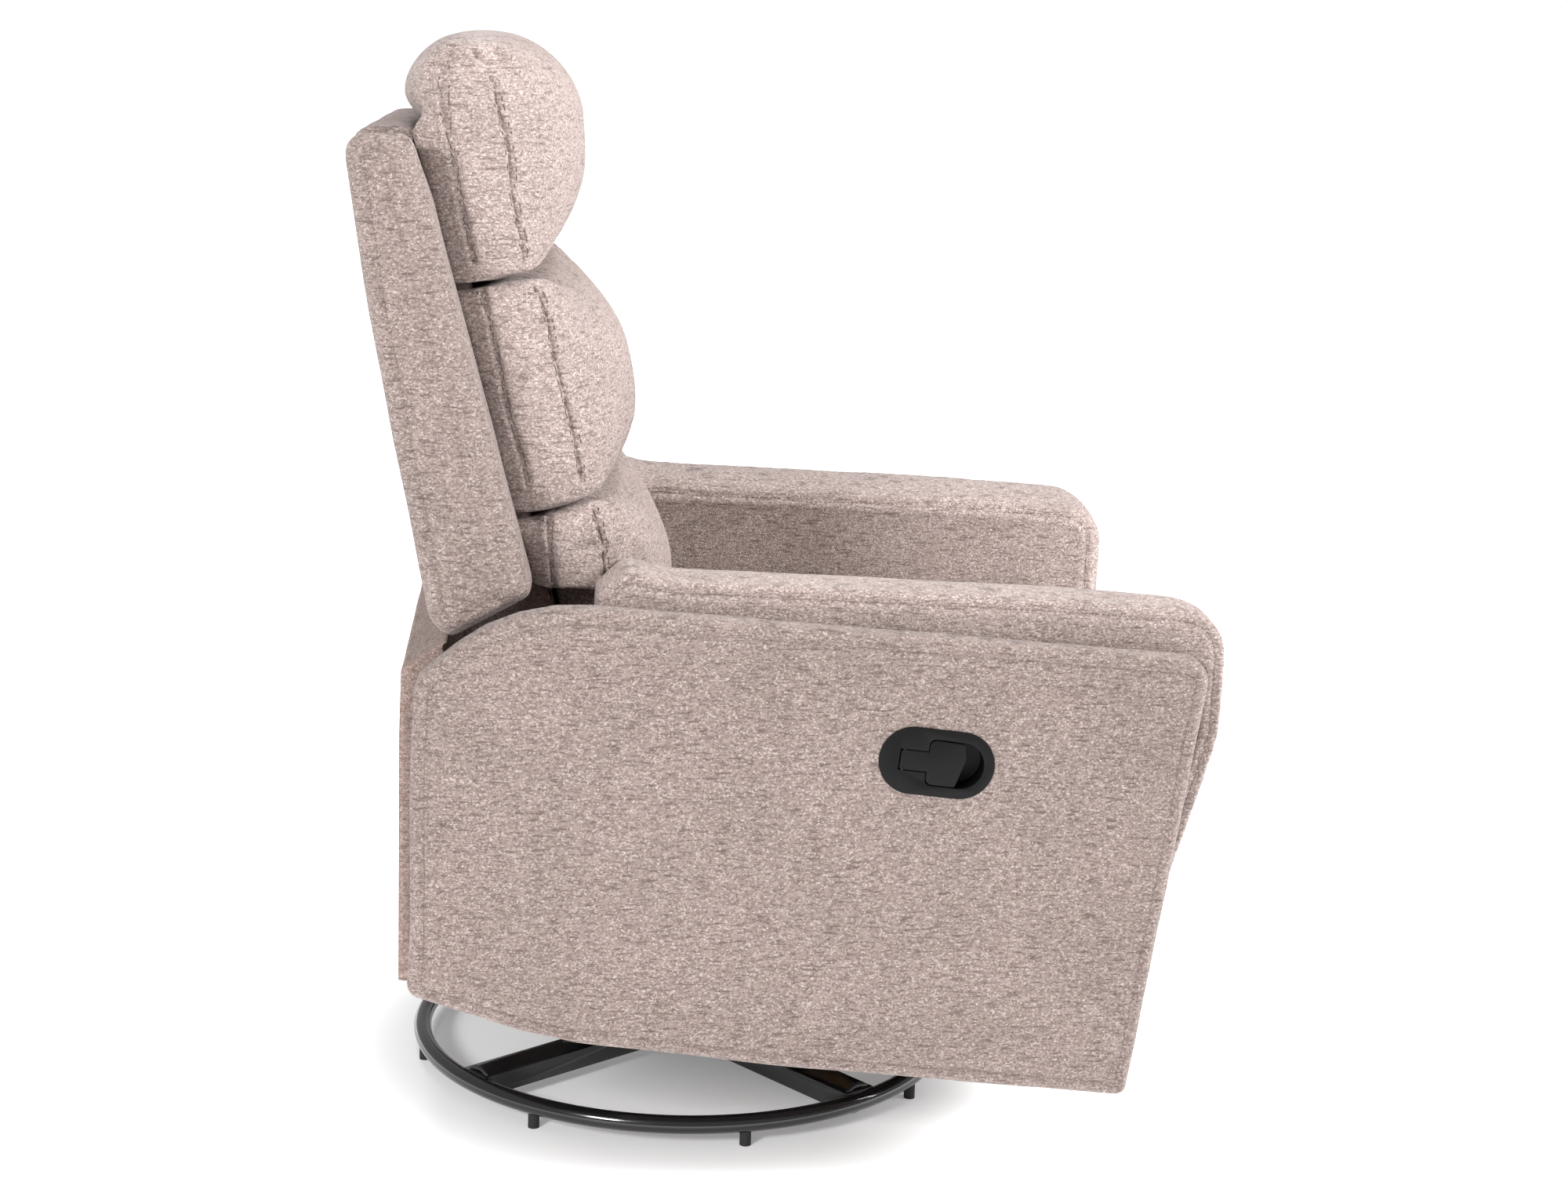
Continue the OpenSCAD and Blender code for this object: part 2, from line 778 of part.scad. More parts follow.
module lean_strip(front, rear, z0, z1) {
    polygon([
        [lean_y(z0) + front, z0], [lean_y(z0) + rear, z0],
        [lean_y(z1) + rear, z1], [lean_y(z1) + front, z1]]);
}

module back_stiles() {
    color(timber) mirrored() slab(stile_x, stile_x + rail_t)
        lean_strip(-stile_d / 2, stile_d / 2, stile_foot, stile_top);
}

module back_rails() {
    rails = [
        [back_rail_low, back_plate_x],
        [(pivot_z + stile_top) / 2, stile_x],
        [stile_top - rail_h, stile_x]];
    color(timber) for (rail = rails)
        slab(-rail.y, rail.y) lean_strip(rail_set - stile_d / 2, stile_d / 2, rail.x, rail.x + rail_h);
}

module back_springs() {
    length = (stile_top - back_rail_low) / cos(back_lean);
    color(zinc) for (i = [-1.5:1:1.5])
        translate([i * 90, lean_y(back_rail_low) + rail_set - stile_d / 2, back_rail_low])
            rotate([90 - back_lean, 0, 0]) linear_extrude(spring_r)
                polygon(zigzag(length, spring_swing, 2 * spring_r));
}

module back_hinge_plates() {
    color(steel) mirrored() slab(back_plate_x, back_plate_x + plate_thin) difference() {
        strap([pivot_y, pivot_z], [lean_y(pivot_z + 110), pivot_z + 110], 28);
        translate([pivot_y, pivot_z]) circle(r = pin_r + run);
    }
}

wing_foot_z = arm_h - 38;
wing_x1 = wing_span / 2;
wing_low_rear = lean_y(wing_foot_z) + 96;
cover_t = 14;

module wing_outline() {
    polygon(rounded([
        [lean_y(arm_h + 3) - 4, arm_h + 3, 10],
        [wing_low_rear - 16, wing_foot_z, 12],
        [wing_low_rear, wing_foot_z + 18, 14],
        [lean_y(wing_foot_z + 300) + 71, wing_foot_z + 300, 500],
        [y_rear, wing_top - 22, 40],
        [y_rear, wing_top, 16],
        [lean_y(wing_top) - 3, wing_top + 1, 10]]));
}

// Rear edge and top edge of the wings, one cover thick
module cover_outline() {
    intersection() {
        wing_outline();
        difference() {
            translate([y_front, wing_foot_z - 10]) square([chair_d + 10, chair_h]);
            translate([-cover_t - cover_t * lean, -cover_t]) wing_outline();
            translate([y_front, wing_foot_z - 11]) square([chair_d / 2 + pivot_y + 60, chair_h]);
        }
    }
}

module back_cover() {
    color(fabric) slab(-stile_x - rail_t, stile_x + rail_t) cover_outline();
}

module back_wing() {
    slab(stile_x + rail_t + 0.5, wing_x1) wing_outline();
}

module back_wing_left() {
    color(fabric) back_wing();
}

module back_wing_right() {
    color(fabric) mirror([1, 0, 0]) back_wing();
}

head_z = chair_h - head_h;
mid_z = head_z - mid_h;
pillow_rear = -stile_d / 2 - spring_r;
half_pillow = pillow_w / 2;

module head_pillow() {
    crown_y = lean_y(chair_h);
    color(fabric) slab(-half_pillow, half_pillow) polygon(rounded([
        [lean_y(head_z) - 98, head_z + 1, 8],
        [lean_y(head_z + 76) - 144, head_z + 76, 60],
        [crown_y - 168, chair_h, 75],
        [crown_y - 4, chair_h, 60],
        [crown_y - 4, wing_top + 6, 8],
        [lean_y(wing_top) - 16, wing_top + 3, 0],
        [lean_y(head_z) + pillow_rear, head_z + 1, 4]]));
}

module mid_pillow() {
    color(fabric) slab(-half_pillow, half_pillow) polygon(rounded([
        [lean_y(mid_z) - 115, mid_z + 1, 6],
        [lean_y(mid_z + 38) - 135, mid_z + 38, 60],
        [lean_y(mid_z + 115) - 144, mid_z + 115, 90],
        [lean_y(head_z) - 100, head_z - 1, 10],
        [lean_y(head_z) + pillow_rear, head_z - 1, 4],
        [lean_y(mid_z) + pillow_rear, mid_z + 1, 4]]));
}

// The lumbar pillow fills what is left down to the seat, and is narrower between the arms
module lumbar_pillow() {
    tongue_z = seat_h + 6;
    side_z = arm_h + 36;
    color(fabric) {
        slab(6 - pad_x0, pad_x0 - 6) polygon(rounded([
            [pivot_y - 108, tongue_z, 14],
            [lean_y(side_z - 48) - 132, side_z - 48, 60],
            [lean_y(mid_z) - 117, mid_z - 1, 6],
            [lean_y(mid_z) + pillow_rear, mid_z - 1, 4],
            [lean_y(tongue_z) + pillow_rear, tongue_z, 10]]));
        slab(-half_pillow, half_pillow) polygon(rounded([
            [lean_y(side_z) - 94, side_z, 6],
            [lean_y(mid_z) - 95, mid_z - 1, 6],
            [lean_y(mid_z) + pillow_rear, mid_z - 1, 4],
            [lean_y(arm_h - 5) + pillow_rear, arm_h - 5, 6],
            [pad_rear + soft_gap, arm_h - 5, 6],
            [pad_rear + soft_gap, side_z, 0]]));
    }
}

// ---- Rear skirt, hung from the foot of the backrest ----
skirt_x = 305;
skirt_t = 5;
skirt_at = [wing_low_rear - 14, wing_foot_z - 6];
skirt_y = panel_rear + soft_gap;
skirt_foot = panel_clear + 92;
skirt_cord_r = 4;

module rear_skirt() {
    color(fabric) {
        slab(-skirt_x, skirt_x) polygon([
            skirt_at, [skirt_y, skirt_at.y - 26], [skirt_y, skirt_foot],
            [skirt_y + skirt_t, skirt_foot], [skirt_y + skirt_t, skirt_at.y - 24], skirt_at + [3, 2]]);
        rod_x(skirt_at, skirt_cord_r, -skirt_x, skirt_x);
    }
}

// ---- Footrest scissor ----
module scissor_link(p, m, q, x0, hole_p, hole_m, hole_q) {
    color(steel) mirrored() slab(x0, x0 + plate_thin) difference() {
        strap(p, q, scissor_w);
        translate(p) circle(r = hole_p);
        translate(m) circle(r = hole_m);
        translate(q) circle(r = hole_q);
    }
}

turning = scissor_pin_r + run;
loose = scissor_pin_r + 0.35;

module scissor_links_a() {
    scissor_link(a_start, a_mid, a_end, inner_link_x, turning, scissor_pin_r, scissor_pin_r);
}

module scissor_tube() {
    color(steel) rod_x(scissor_tube_at, 8, -inner_link_x, inner_link_x);
}

module scissor_pins_a() {
    color(zinc) mirrored() for (p = [a_mid, a_end])
        rod_x(p, scissor_pin_r, inner_link_x - 1, outer_link_x + plate_thin + 1);
}

module scissor_links_b() {
    scissor_link(b_start, a_mid, b_end, outer_link_x, scissor_pin_r, turning, scissor_pin_r);
    color(zinc) mirrored() {
        rod_x(b_start, scissor_pin_r, outer_link_x, bracket_x + plate_thin);
        rod_x(b_end, scissor_pin_r, inner_link_x - 1, outer_link_x + plate_thin);
    }
}

module scissor_links_c() {
    scissor_link(a_end, c_mid, c_end, outer_link_x, turning, scissor_pin_r, scissor_pin_r);
}

module scissor_pins_c() {
    color(zinc) mirrored() for (p = [c_mid, c_end])
        rod_x(p, scissor_pin_r, inner_link_x - 1, outer_link_x + plate_thin + 1);
}

module scissor_links_d() {
    scissor_link(b_end, c_mid, d_tail, inner_link_x, loose, turning, scissor_pin_r);
    color(zinc) mirrored() rod_x(d_tail, scissor_pin_r, flip_x - 1, inner_link_x + plate_thin);
}

module flip_links() {
    color(steel) mirrored() slab(flip_x, flip_x + plate_thin) difference() {
        union() {
            strap(d_tail, flip_pin, 14);
            translate(flip_pin) circle(r = scissor_pin_r + flip_eye + 4);
        }
        translate(d_tail) circle(r = turning);
        translate(flip_pin) circle(r = scissor_pin_r + flip_eye);
    }
}

// Footrest frame of reference: origin at the scissor's far pin, tilted with the fronts of the arms
module at_footrest() {
    translate(c_end) rotate(front_lean) children();
}

footrest_x = pad_x0 - 10;
board_top = 14;

module footrest_hinge() {
    slab(inner_link_x, inner_link_x + plate_thin) difference() {
        union() {
            at_footrest() translate([-board_set, -55]) square([12, 50 + board_top]);
            at_footrest() translate([-board_set, -8]) square([board_set, 16]);
            translate(c_end) circle(r = 10);
            strap(flip_pin, c_end, hinge_web);
        }
        translate(c_end) circle(r = turning);
    }
    rod_x(flip_pin, scissor_pin_r, flip_x - 1, inner_link_x);
}

module footrest_hinges() {
    color(steel) mirrored() footrest_hinge();
}

module footrest_board() {
    color(timber) slab(-footrest_x, footrest_x) at_footrest()
        translate([-board_set - board_t, board_top - footrest_l]) square([board_t, footrest_l]);
}

module footrest_pad() {
    back = -board_set - board_t;
    front = back - footrest_pad_t;
    low = board_top - footrest_l - 4;
    high = board_top + 2;
    color(fabric) slab(-footrest_x - 4, footrest_x + 4) at_footrest() polygon(rounded([
        [back, low, 0], [back, high, 0], [front, high, 18], [front, low, 18]]));
}

// ---- What is drawn ----
base_ring();
base_cross();
ring_feet();
lower_plate();
swivel_post();
bearing_ring();
upper_plate();
stand_uprights();
stand_bolts();
hanger_pins();
front_glide_links();
rear_glide_links();
glide_rails();
carrier_pins();
cross_beams();
seat_side_rails();
seat_cross_rails();
seat_lip();
seat_springs();
seat_deck();
seat_cushion();
side_panel_left();
side_panel_right();
arm_frame_left();
arm_frame_right();
arm_pad_left();
arm_pad_right();
footrest_brackets();
footrest_pivot_pins();
seat_hinge_plates();
recline_pins();
hinge_bolts();
handle_bezel();
handle_pin();
release_cable();
kick_bracket();
release_paddle();
kick_lever();
back_stiles();
back_rails();
back_springs();
back_hinge_plates();
back_cover();
back_wing_left();
back_wing_right();
head_pillow();
mid_pillow();
lumbar_pillow();
rear_skirt();
scissor_links_a();
scissor_tube();
scissor_pins_a();
scissor_links_b();
scissor_links_c();
scissor_pins_c();
scissor_links_d();
flip_links();
footrest_hinges();
footrest_board();
footrest_pad();
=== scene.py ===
import json
import math

import bpy
import numpy as np
from mathutils import Matrix, Vector, kdtree, noise
from mathutils.bvhtree import BVHTree


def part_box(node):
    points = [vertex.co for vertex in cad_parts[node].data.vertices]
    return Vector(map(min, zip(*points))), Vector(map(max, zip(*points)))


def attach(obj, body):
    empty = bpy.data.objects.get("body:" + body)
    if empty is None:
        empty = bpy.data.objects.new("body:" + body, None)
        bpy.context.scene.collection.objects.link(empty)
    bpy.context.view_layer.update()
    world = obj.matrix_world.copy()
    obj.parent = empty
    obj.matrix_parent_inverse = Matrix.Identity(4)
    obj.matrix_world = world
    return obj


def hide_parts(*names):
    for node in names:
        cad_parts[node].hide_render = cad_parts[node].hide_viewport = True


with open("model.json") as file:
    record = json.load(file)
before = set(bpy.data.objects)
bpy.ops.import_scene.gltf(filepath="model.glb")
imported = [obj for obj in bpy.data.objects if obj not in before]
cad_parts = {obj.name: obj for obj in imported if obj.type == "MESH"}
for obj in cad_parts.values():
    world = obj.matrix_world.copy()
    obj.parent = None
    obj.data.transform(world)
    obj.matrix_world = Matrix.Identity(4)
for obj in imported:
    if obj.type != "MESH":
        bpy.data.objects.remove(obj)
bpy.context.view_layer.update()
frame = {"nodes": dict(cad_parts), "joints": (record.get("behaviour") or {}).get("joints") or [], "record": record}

MM = 0.001
LEAN = math.radians(15)  # of the backrest, from upright
scene = bpy.context.scene


# ---- Handling a piece ----

def only(piece):
    """Selects this piece and nothing else."""
    bpy.ops.object.select_all(action="DESELECT")
    bpy.context.view_layer.objects.active = piece
    piece.select_set(True)


def get_points(piece):
    flat = np.empty(len(piece.data.vertices) * 3)
    piece.data.vertices.foreach_get("co", flat)
    return flat.reshape(-1, 3)


def set_points(piece, points):
    piece.data.vertices.foreach_set("co", points.ravel())
    piece.data.update()


def get_normals(piece):
    flat = np.empty(len(piece.data.vertices) * 3)
    piece.data.vertices.foreach_get("normal", flat)
    return flat.reshape(-1, 3)


def finish_modifier(piece, kind, **settings):
    only(piece)
    modifier = piece.modifiers.new(kind.lower(), kind)
    for key, value in settings.items():
        setattr(modifier, key, value)
    bpy.ops.object.modifier_apply(modifier=modifier.name)


def new_piece(name, points, faces):
    mesh = bpy.data.meshes.new(name)
    mesh.from_pydata([tuple(p) for p in points], [], faces)
    piece = bpy.data.objects.new(name, mesh)
    scene.collection.objects.link(piece)
    return piece


WELD_GAP = 0.02 * MM
FLAT_ANGLE = 0.012


def copy_node(node, name):
    """A copy of a frame part, welded and with its flat faces whole again."""
    piece = bpy.data.objects.new(name, frame["nodes"][node].data.copy())
    scene.collection.objects.link(piece)
    piece.data.materials.clear()
    only(piece)
    bpy.ops.mesh.customdata_custom_splitnormals_clear()
    bpy.ops.object.mode_set(mode="EDIT")
    bpy.ops.mesh.select_all(action="SELECT")
    bpy.ops.mesh.remove_doubles(threshold=WELD_GAP)
    bpy.ops.mesh.dissolve_limited(angle_limit=FLAT_ANGLE)
    bpy.ops.object.mode_set(mode="OBJECT")
    return piece


def join(pieces):
    """Several small pieces as one."""
    only(pieces[0])
    for piece in pieces:
        piece.select_set(True)
    bpy.ops.object.join()
    return pieces[0]


def settle(piece, material, body, slot, *nodes):
    """Gives a finished piece its material, its body and the frame parts it stands for. The slot is not used."""
    piece.data.materials.clear()
    piece.data.materials.append(material)
    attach(piece, body)
    if nodes:
        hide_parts(*nodes)
    return piece


def smooth_all(piece):
    piece.data.polygons.foreach_set("use_smooth", [True] * len(piece.data.polygons))
    piece.data.update()


def ease(piece, rounds):
    finish_modifier(piece, "SMOOTH", factor=0.5, iterations=rounds)


def fine_skin(piece, size, rounds):
    """Turns the piece into an even skin of small squares, then eases the steps out of it."""
    finish_modifier(piece, "REMESH", mode="VOXEL", voxel_size=size, use_smooth_shade=True)
    if rounds:
        ease(piece, rounds)


def refine(piece):
    finish_modifier(piece, "SUBSURF", levels=1, render_levels=1)


# ---- Outlines in the side view, as rows of (y, z) ----

def cut_outline(node, x):
    """The outer outline of a frame part where an upright plane at x cuts it, evenly spaced."""
    piece = copy_node(node, "outline_" + node)
    bpy.ops.object.mode_set(mode="EDIT")
    bpy.ops.mesh.select_all(action="SELECT")
    bpy.ops.mesh.bisect(plane_co=(x, 0, 0), plane_no=(1, 0, 0), clear_inner=True, clear_outer=True)
    bpy.ops.object.mode_set(mode="OBJECT")
    beside = {}
    for edge in piece.data.edges:
        a, b = edge.vertices
        beside.setdefault(a, []).append(b)
        beside.setdefault(b, []).append(a)
    loops, left = [], set(beside)
    while left:
        walk = [left.pop()]
        while True:
            onward = [i for i in beside[walk[-1]] if i in left]
            if not onward:
                break
            walk.append(onward[0])
            left.discard(onward[0])
        loops.append(np.array([piece.data.vertices[i].co for i in walk])[:, 1:])
    bpy.data.objects.remove(piece)
    return even_loop(max(loops, key=lambda loop: abs(area_of(loop))), 3 * MM)


def even_loop(loop, step):
    closed = np.vstack([loop, loop[:1]])
    lengths = np.concatenate([[0], np.cumsum(np.linalg.norm(np.diff(closed, axis=0), axis=1))])
    count = max(12, int(lengths[-1] / step))
    at = np.linspace(0, lengths[-1], count, endpoint=False)
    return np.column_stack([np.interp(at, lengths, closed[:, i]) for i in (0, 1)])


def area_of(loop):
    nxt = np.roll(loop, -1, axis=0)
    return 0.5 * np.sum(loop[:, 0] * nxt[:, 1] - nxt[:, 0] * loop[:, 1])


class Outline:
    """A closed loop with its inward directions and its running length."""

    def __init__(self, loop):
        self.loop = loop if area_of(loop) > 0 else loop[::-1].copy()
        along = np.roll(self.loop, -1, axis=0) - np.roll(self.loop, 1, axis=0)
        along /= np.linalg.norm(along, axis=1)[:, None]
        self.inward = np.column_stack([-along[:, 1], along[:, 0]])
        steps = np.linalg.norm(np.roll(self.loop, -1, axis=0) - self.loop, axis=1)
        self.length = np.concatenate([[0], np.cumsum(steps)[:-1]])
        self.tree = kdtree.KDTree(len(self.loop))
        for i, (y, z) in enumerate(self.loop):
            self.tree.insert((0, y, z), i)
        self.tree.balance()

    def nearest(self, points):
        """For each point: its depth inside the loop, and the number of the nearest outline point."""
        index = np.array([self.tree.find((0, y, z))[1] for y, z in points[:, 1:]])
        depth = np.sum((points[:, 1:] - self.loop[index]) * self.inward[index], axis=1)
        return depth, index

    def inset(self, distance, x, keep=None):
        """The seam line that runs at this distance inside the loop."""
        line = self.loop + self.inward * distance
        points = np.column_stack([np.full(len(line), x), line])
        return points if keep is None else points[[bool(keep(p[1], p[2])) for p in points]]


def pucker(length, seed):
    """Uneven gathers along a seam, from 0 to about 1, by its running length."""
    waves = ((13.5 * MM, 0.0), (22.3 * MM, 1.3), (8.1 * MM, 2.1), (47 * MM, 0.7))
    total = sum(np.sin(2 * np.pi * length / wave + phase + seed * 2.4) for wave, phase in waves)
    return 0.5 + total / (2 * len(waves))


def soft_noise(points, scale, seed):
    """A smooth random value from -1 to 1 at each point."""
    shift = Vector((seed * 3.7, seed * 1.9, seed * 5.3))
    return np.array([noise.noise(Vector(p) * scale + shift) for p in points])


# ---- Padded slabs: panels, arms and wings ----

SKIN = 2 * MM  # what lies deeper than this is the inside of a slab, and stays
CROWN_REACH = 45 * MM  # how fast a face rises to its crown, from the rim


def pad_slab(piece, outline, x_in, x_out, round_in, round_out, crown_in, crown_out, rim_crown=0.0):
    """Rounds the two faces of a slab into its rim and crowns them, as padding under a tight cover does."""
    points = get_points(piece)
    depth, index = outline.nearest(points)
    side = 1.0 if x_out > x_in else -1.0
    from_out = (x_out - points[:, 0]) * side
    from_in = (points[:, 0] - x_in) * side
    width = abs(x_out - x_in)
    out_nearer = from_out < from_in
    radius = np.where(out_nearer, round_out, round_in)
    height = np.clip(np.where(out_nearer, from_out, from_in), 0, None)
    skin = (height < SKIN) | (depth < SKIN)
    depth = np.clip(depth, 0, None)
    on_face = height < depth
    travel = np.where(on_face, radius - depth, radius + height)
    turning = (travel > 0) & (travel < 2 * radius)
    angle = np.clip(travel / (2 * radius), 0, 1) * math.pi / 2
    new_depth = np.where(turning, radius * (1 - np.sin(angle)), np.where(on_face, depth, 0))
    new_height = np.where(turning, radius * (1 - np.cos(angle)), np.where(on_face, 0, height))
    crown = np.where(out_nearer, crown_out, crown_in)
    rise = crown * (1 - np.exp(-np.clip(new_depth, 0, None) / CROWN_REACH)) * on_face
    share = np.clip(new_height / (width / 2), 0, 1)
    bulge = rim_crown * (1 - (1 - share) ** 2) * ~on_face
    moved = outline.loop[index] + outline.inward[index] * (new_depth - bulge)[:, None]
    deep = on_face & ~turning
    moved[deep] = points[deep][:, 1:]
    x_new = np.where(out_nearer, x_out - side * (new_height - rise), x_in + side * (new_height - rise))
    shaped = np.column_stack([x_new, moved])
    set_points(piece, np.where(skin[:, None], shaped, points))


def press_seam(piece, line, width, depth, swell=0.0, seed=0.0, gather=0.6):
    """Draws the cover in along a seam line, with gathers, and lets it swell beside the seam."""
    points, normals = get_points(piece), get_normals(piece)
    only(piece)
    skin = BVHTree.FromObject(piece, bpy.context.evaluated_depsgraph_get())
    line = np.array([skin.find_nearest(Vector(p))[0] for p in line])
    tree = kdtree.KDTree(len(line))
    for i, p in enumerate(line):
        tree.insert(p, i)
    tree.balance()
    steps = np.linalg.norm(np.diff(line, axis=0), axis=1)
    length = np.concatenate([[0], np.cumsum(steps)])
    reach = 5 * width + 10 * MM
    low, high = line.min(0) - reach, line.max(0) + reach
    near = np.where(np.all((points > low) & (points < high), axis=1))[0]
    if not len(near):
        return
    found = [tree.find(points[i])[1:] for i in near]
    index = np.array([f[0] for f in found])
    away = np.array([f[1] for f in found])
    gathers = 1 + gather * (pucker(length[index], seed) - 0.5) * 2
    groove = -depth * np.exp(-((away / width) ** 2)) * gathers
    ridge = swell * np.exp(-(((away - 2.6 * width) / (1.6 * width)) ** 2)) * (2 - gathers)
    points[near] += normals[near] * (groove + ridge)[:, None]
    set_points(piece, points)


def ripple(piece, height, scale, seed):
    """Slight unevenness of stuffing under the cover."""
    points, normals = get_points(piece), get_normals(piece)
    set_points(piece, points + normals * (soft_noise(points, scale, seed) * height)[:, None])


def even_line(points, step):
    points = np.asarray(points, float)
    lengths = np.concatenate([[0], np.cumsum(np.linalg.norm(np.diff(points, axis=0), axis=1))])
    at = np.arange(0, lengths[-1], step)
    return np.column_stack([np.interp(at, lengths, points[:, i]) for i in range(3)])


def stitch_model():
    """One stitch of thread, lying along X, 1 unit long and 1 unit thick."""
    bpy.ops.object.select_all(action="DESELECT")
    bpy.ops.mesh.primitive_uv_sphere_add(segments=6, ring_count=4, radius=0.5)
    ball = bpy.context.active_object
    points = get_points(ball)[:, [2, 0, 1]]
    faces = [tuple(f.vertices) for f in ball.data.polygons]
    bpy.data.objects.remove(ball)
    return points, faces


STITCH_POINTS, STITCH_FACES = stitch_model()


def sew(name, line, cover, pitch=5 * MM, long=3.6 * MM, thick=0.9 * MM, sink=0.1 * MM):
    """A row of stitches laid on a cover along a seam line."""
    only(cover)
    tree = BVHTree.FromObject(cover, bpy.context.evaluated_depsgraph_get())
    row = even_line(line, pitch)
    points, faces = [], []
    for here, after in zip(row[:-1], row[1:]):
        middle, along = (here + after) / 2, Vector(after - here).normalized()
        spot, up, _, _ = tree.find_nearest(Vector(middle))
        if spot is None or (spot - Vector(middle)).length > 20 * MM:
            continue
        across = up.cross(along).normalized()
        along = across.cross(up).normalized()
        turn = np.array([along, across, up]).T
        place = np.array(spot + up * (thick * 0.25 - sink))
        body = STITCH_POINTS * (long, thick, thick) @ turn.T + place
        start = len(points) * len(STITCH_POINTS)
        faces += [tuple(i + start for i in f) for f in STITCH_FACES]
        points.append(body)
    piece = new_piece(name, np.vstack(points), faces)
    smooth_all(piece)
    return piece


# ---- Stuffed pillows ----

CLOTH_STEPS = 20
PRESSURE = 4.0


def stuff(piece, hold, swell):
    """Fills a sewn cover by pressure, except where hold is near 1. Swell is the farthest it may go."""
    before = get_points(piece)
    group = piece.vertex_groups.new(name="sewn")
    # A vertex group takes one weight at a time, so the hold goes in ten even levels
    levels = np.round(np.clip(hold, 0, 1) * 10).astype(int)
    for level in range(1, 11):
        group.add([int(i) for i in np.where(levels == level)[0]], level / 10, "REPLACE")
    cloth = piece.modifiers.new("stuffing", "CLOTH")
    fabric = cloth.settings
    fabric.quality = 5
    fabric.mass = 0.3
    fabric.tension_stiffness = 12
    fabric.compression_stiffness = 12
    fabric.shear_stiffness = 5
    fabric.bending_stiffness = 0.6
    fabric.use_pressure = True
    fabric.uniform_pressure_force = PRESSURE
    fabric.vertex_group_mass = "sewn"
    fabric.effector_weights.gravity = 0
    cloth.point_cache.frame_start = 1
    cloth.point_cache.frame_end = CLOTH_STEPS
    for number in range(1, CLOTH_STEPS + 1):
        scene.frame_set(number)
    only(piece)
    bpy.ops.object.modifier_apply(modifier=cloth.name)
    move = get_points(piece) - before
    far = np.linalg.norm(move, axis=1)[:, None] + 1e-9
    set_points(piece, before + move / far * swell * np.tanh(far / swell))
    scene.frame_set(1)
    piece.vertex_groups.clear()


class Profile:
    """How far forward and how far back an outline reaches at each height."""

    def __init__(self, loop):
        after = np.roll(loop, -1, axis=0)
        foot, top = loop[:, 1].min() + 0.5 * MM, loop[:, 1].max() - 0.5 * MM
        self.levels = np.linspace(foot, top, 90)
        self.fronts, self.rears = [], []
        for level in self.levels:
            cut = (loop[:, 1] - level) * (after[:, 1] - level) <= 0
            rise = after[cut, 1] - loop[cut, 1]
            share = (level - loop[cut, 1]) / np.where(np.abs(rise) < 1e-9, 1e-9, rise)
            crossing = loop[cut, 0] + np.clip(share, 0, 1) * (after[cut, 0] - loop[cut, 0])
            self.fronts.append(crossing.min())
            self.rears.append(crossing.max())

    def front(self, z):
        return np.interp(z, self.levels, self.fronts)

    def rear(self, z):
        return np.interp(z, self.levels, self.rears)


def blend_in(value, low, high):
    """0 below low, 1 above high and a soft rise between."""
    share = np.clip((value - low) / (high - low), 0, 1)
    return share * share * (3 - 2 * share)


# ---- Finishes ----

def tone(red, green, blue):
    """A colour given as it looks on a screen, 0 to 255, as light."""
    return tuple(((c / 255 + 0.055) / 1.055) ** 2.4 if c > 10 else c / 255 / 12.92
                 for c in (red, green, blue)) + (1.0,)


class Nodes:
    """Short ways to place and join nodes."""

    def __init__(self, tree):
        self.tree = tree

    def add(self, kind, values=None, **settings):
        node = self.tree.nodes.new(kind)
        for key, value in settings.items():
            setattr(node, key, value)
        for key, value in (values or {}).items():
            self.put(node.inputs[key], value)
        return node

    def put(self, socket, value):
        if isinstance(value, bpy.types.NodeSocket):
            self.tree.links.new(value, socket)
        else:
            socket.default_value = value

    def math(self, operation, a, b=0.0, clamp=False):
        node = self.add("ShaderNodeMath", {0: a, 1: b}, operation=operation, use_clamp=clamp)
        return node.outputs[0]

    def mix(self, factor, a, b):
        node = self.add("ShaderNodeMix", {0: factor, 6: a, 7: b}, data_type="RGBA")
        return node.outputs[2]

    def spread(self, value, low, high, to_low=0.0, to_high=1.0):
        node = self.add("ShaderNodeMapRange", {0: value, 1: low, 2: high, 3: to_low, 4: to_high})
        return node.outputs[0]

    def stretch(self, vector, scale):
        return self.add("ShaderNodeMapping", {"Vector": vector, "Scale": scale}).outputs[0]


def group_of(name, inputs, outputs):
    """An empty node group with its sockets, its inner nodes and its way in."""
    group = bpy.data.node_groups.new(name, "ShaderNodeTree")
    for label, kind, value in inputs:
        socket = group.interface.new_socket(name=label, in_out="INPUT", socket_type="NodeSocket" + kind)
        if value is not None:
            socket.default_value = value
    for label, kind in outputs:
        group.interface.new_socket(name=label, in_out="OUTPUT", socket_type="NodeSocket" + kind)
    nodes = Nodes(group)
    return group, nodes, nodes.add("NodeGroupInput").outputs, nodes.add("NodeGroupOutput")


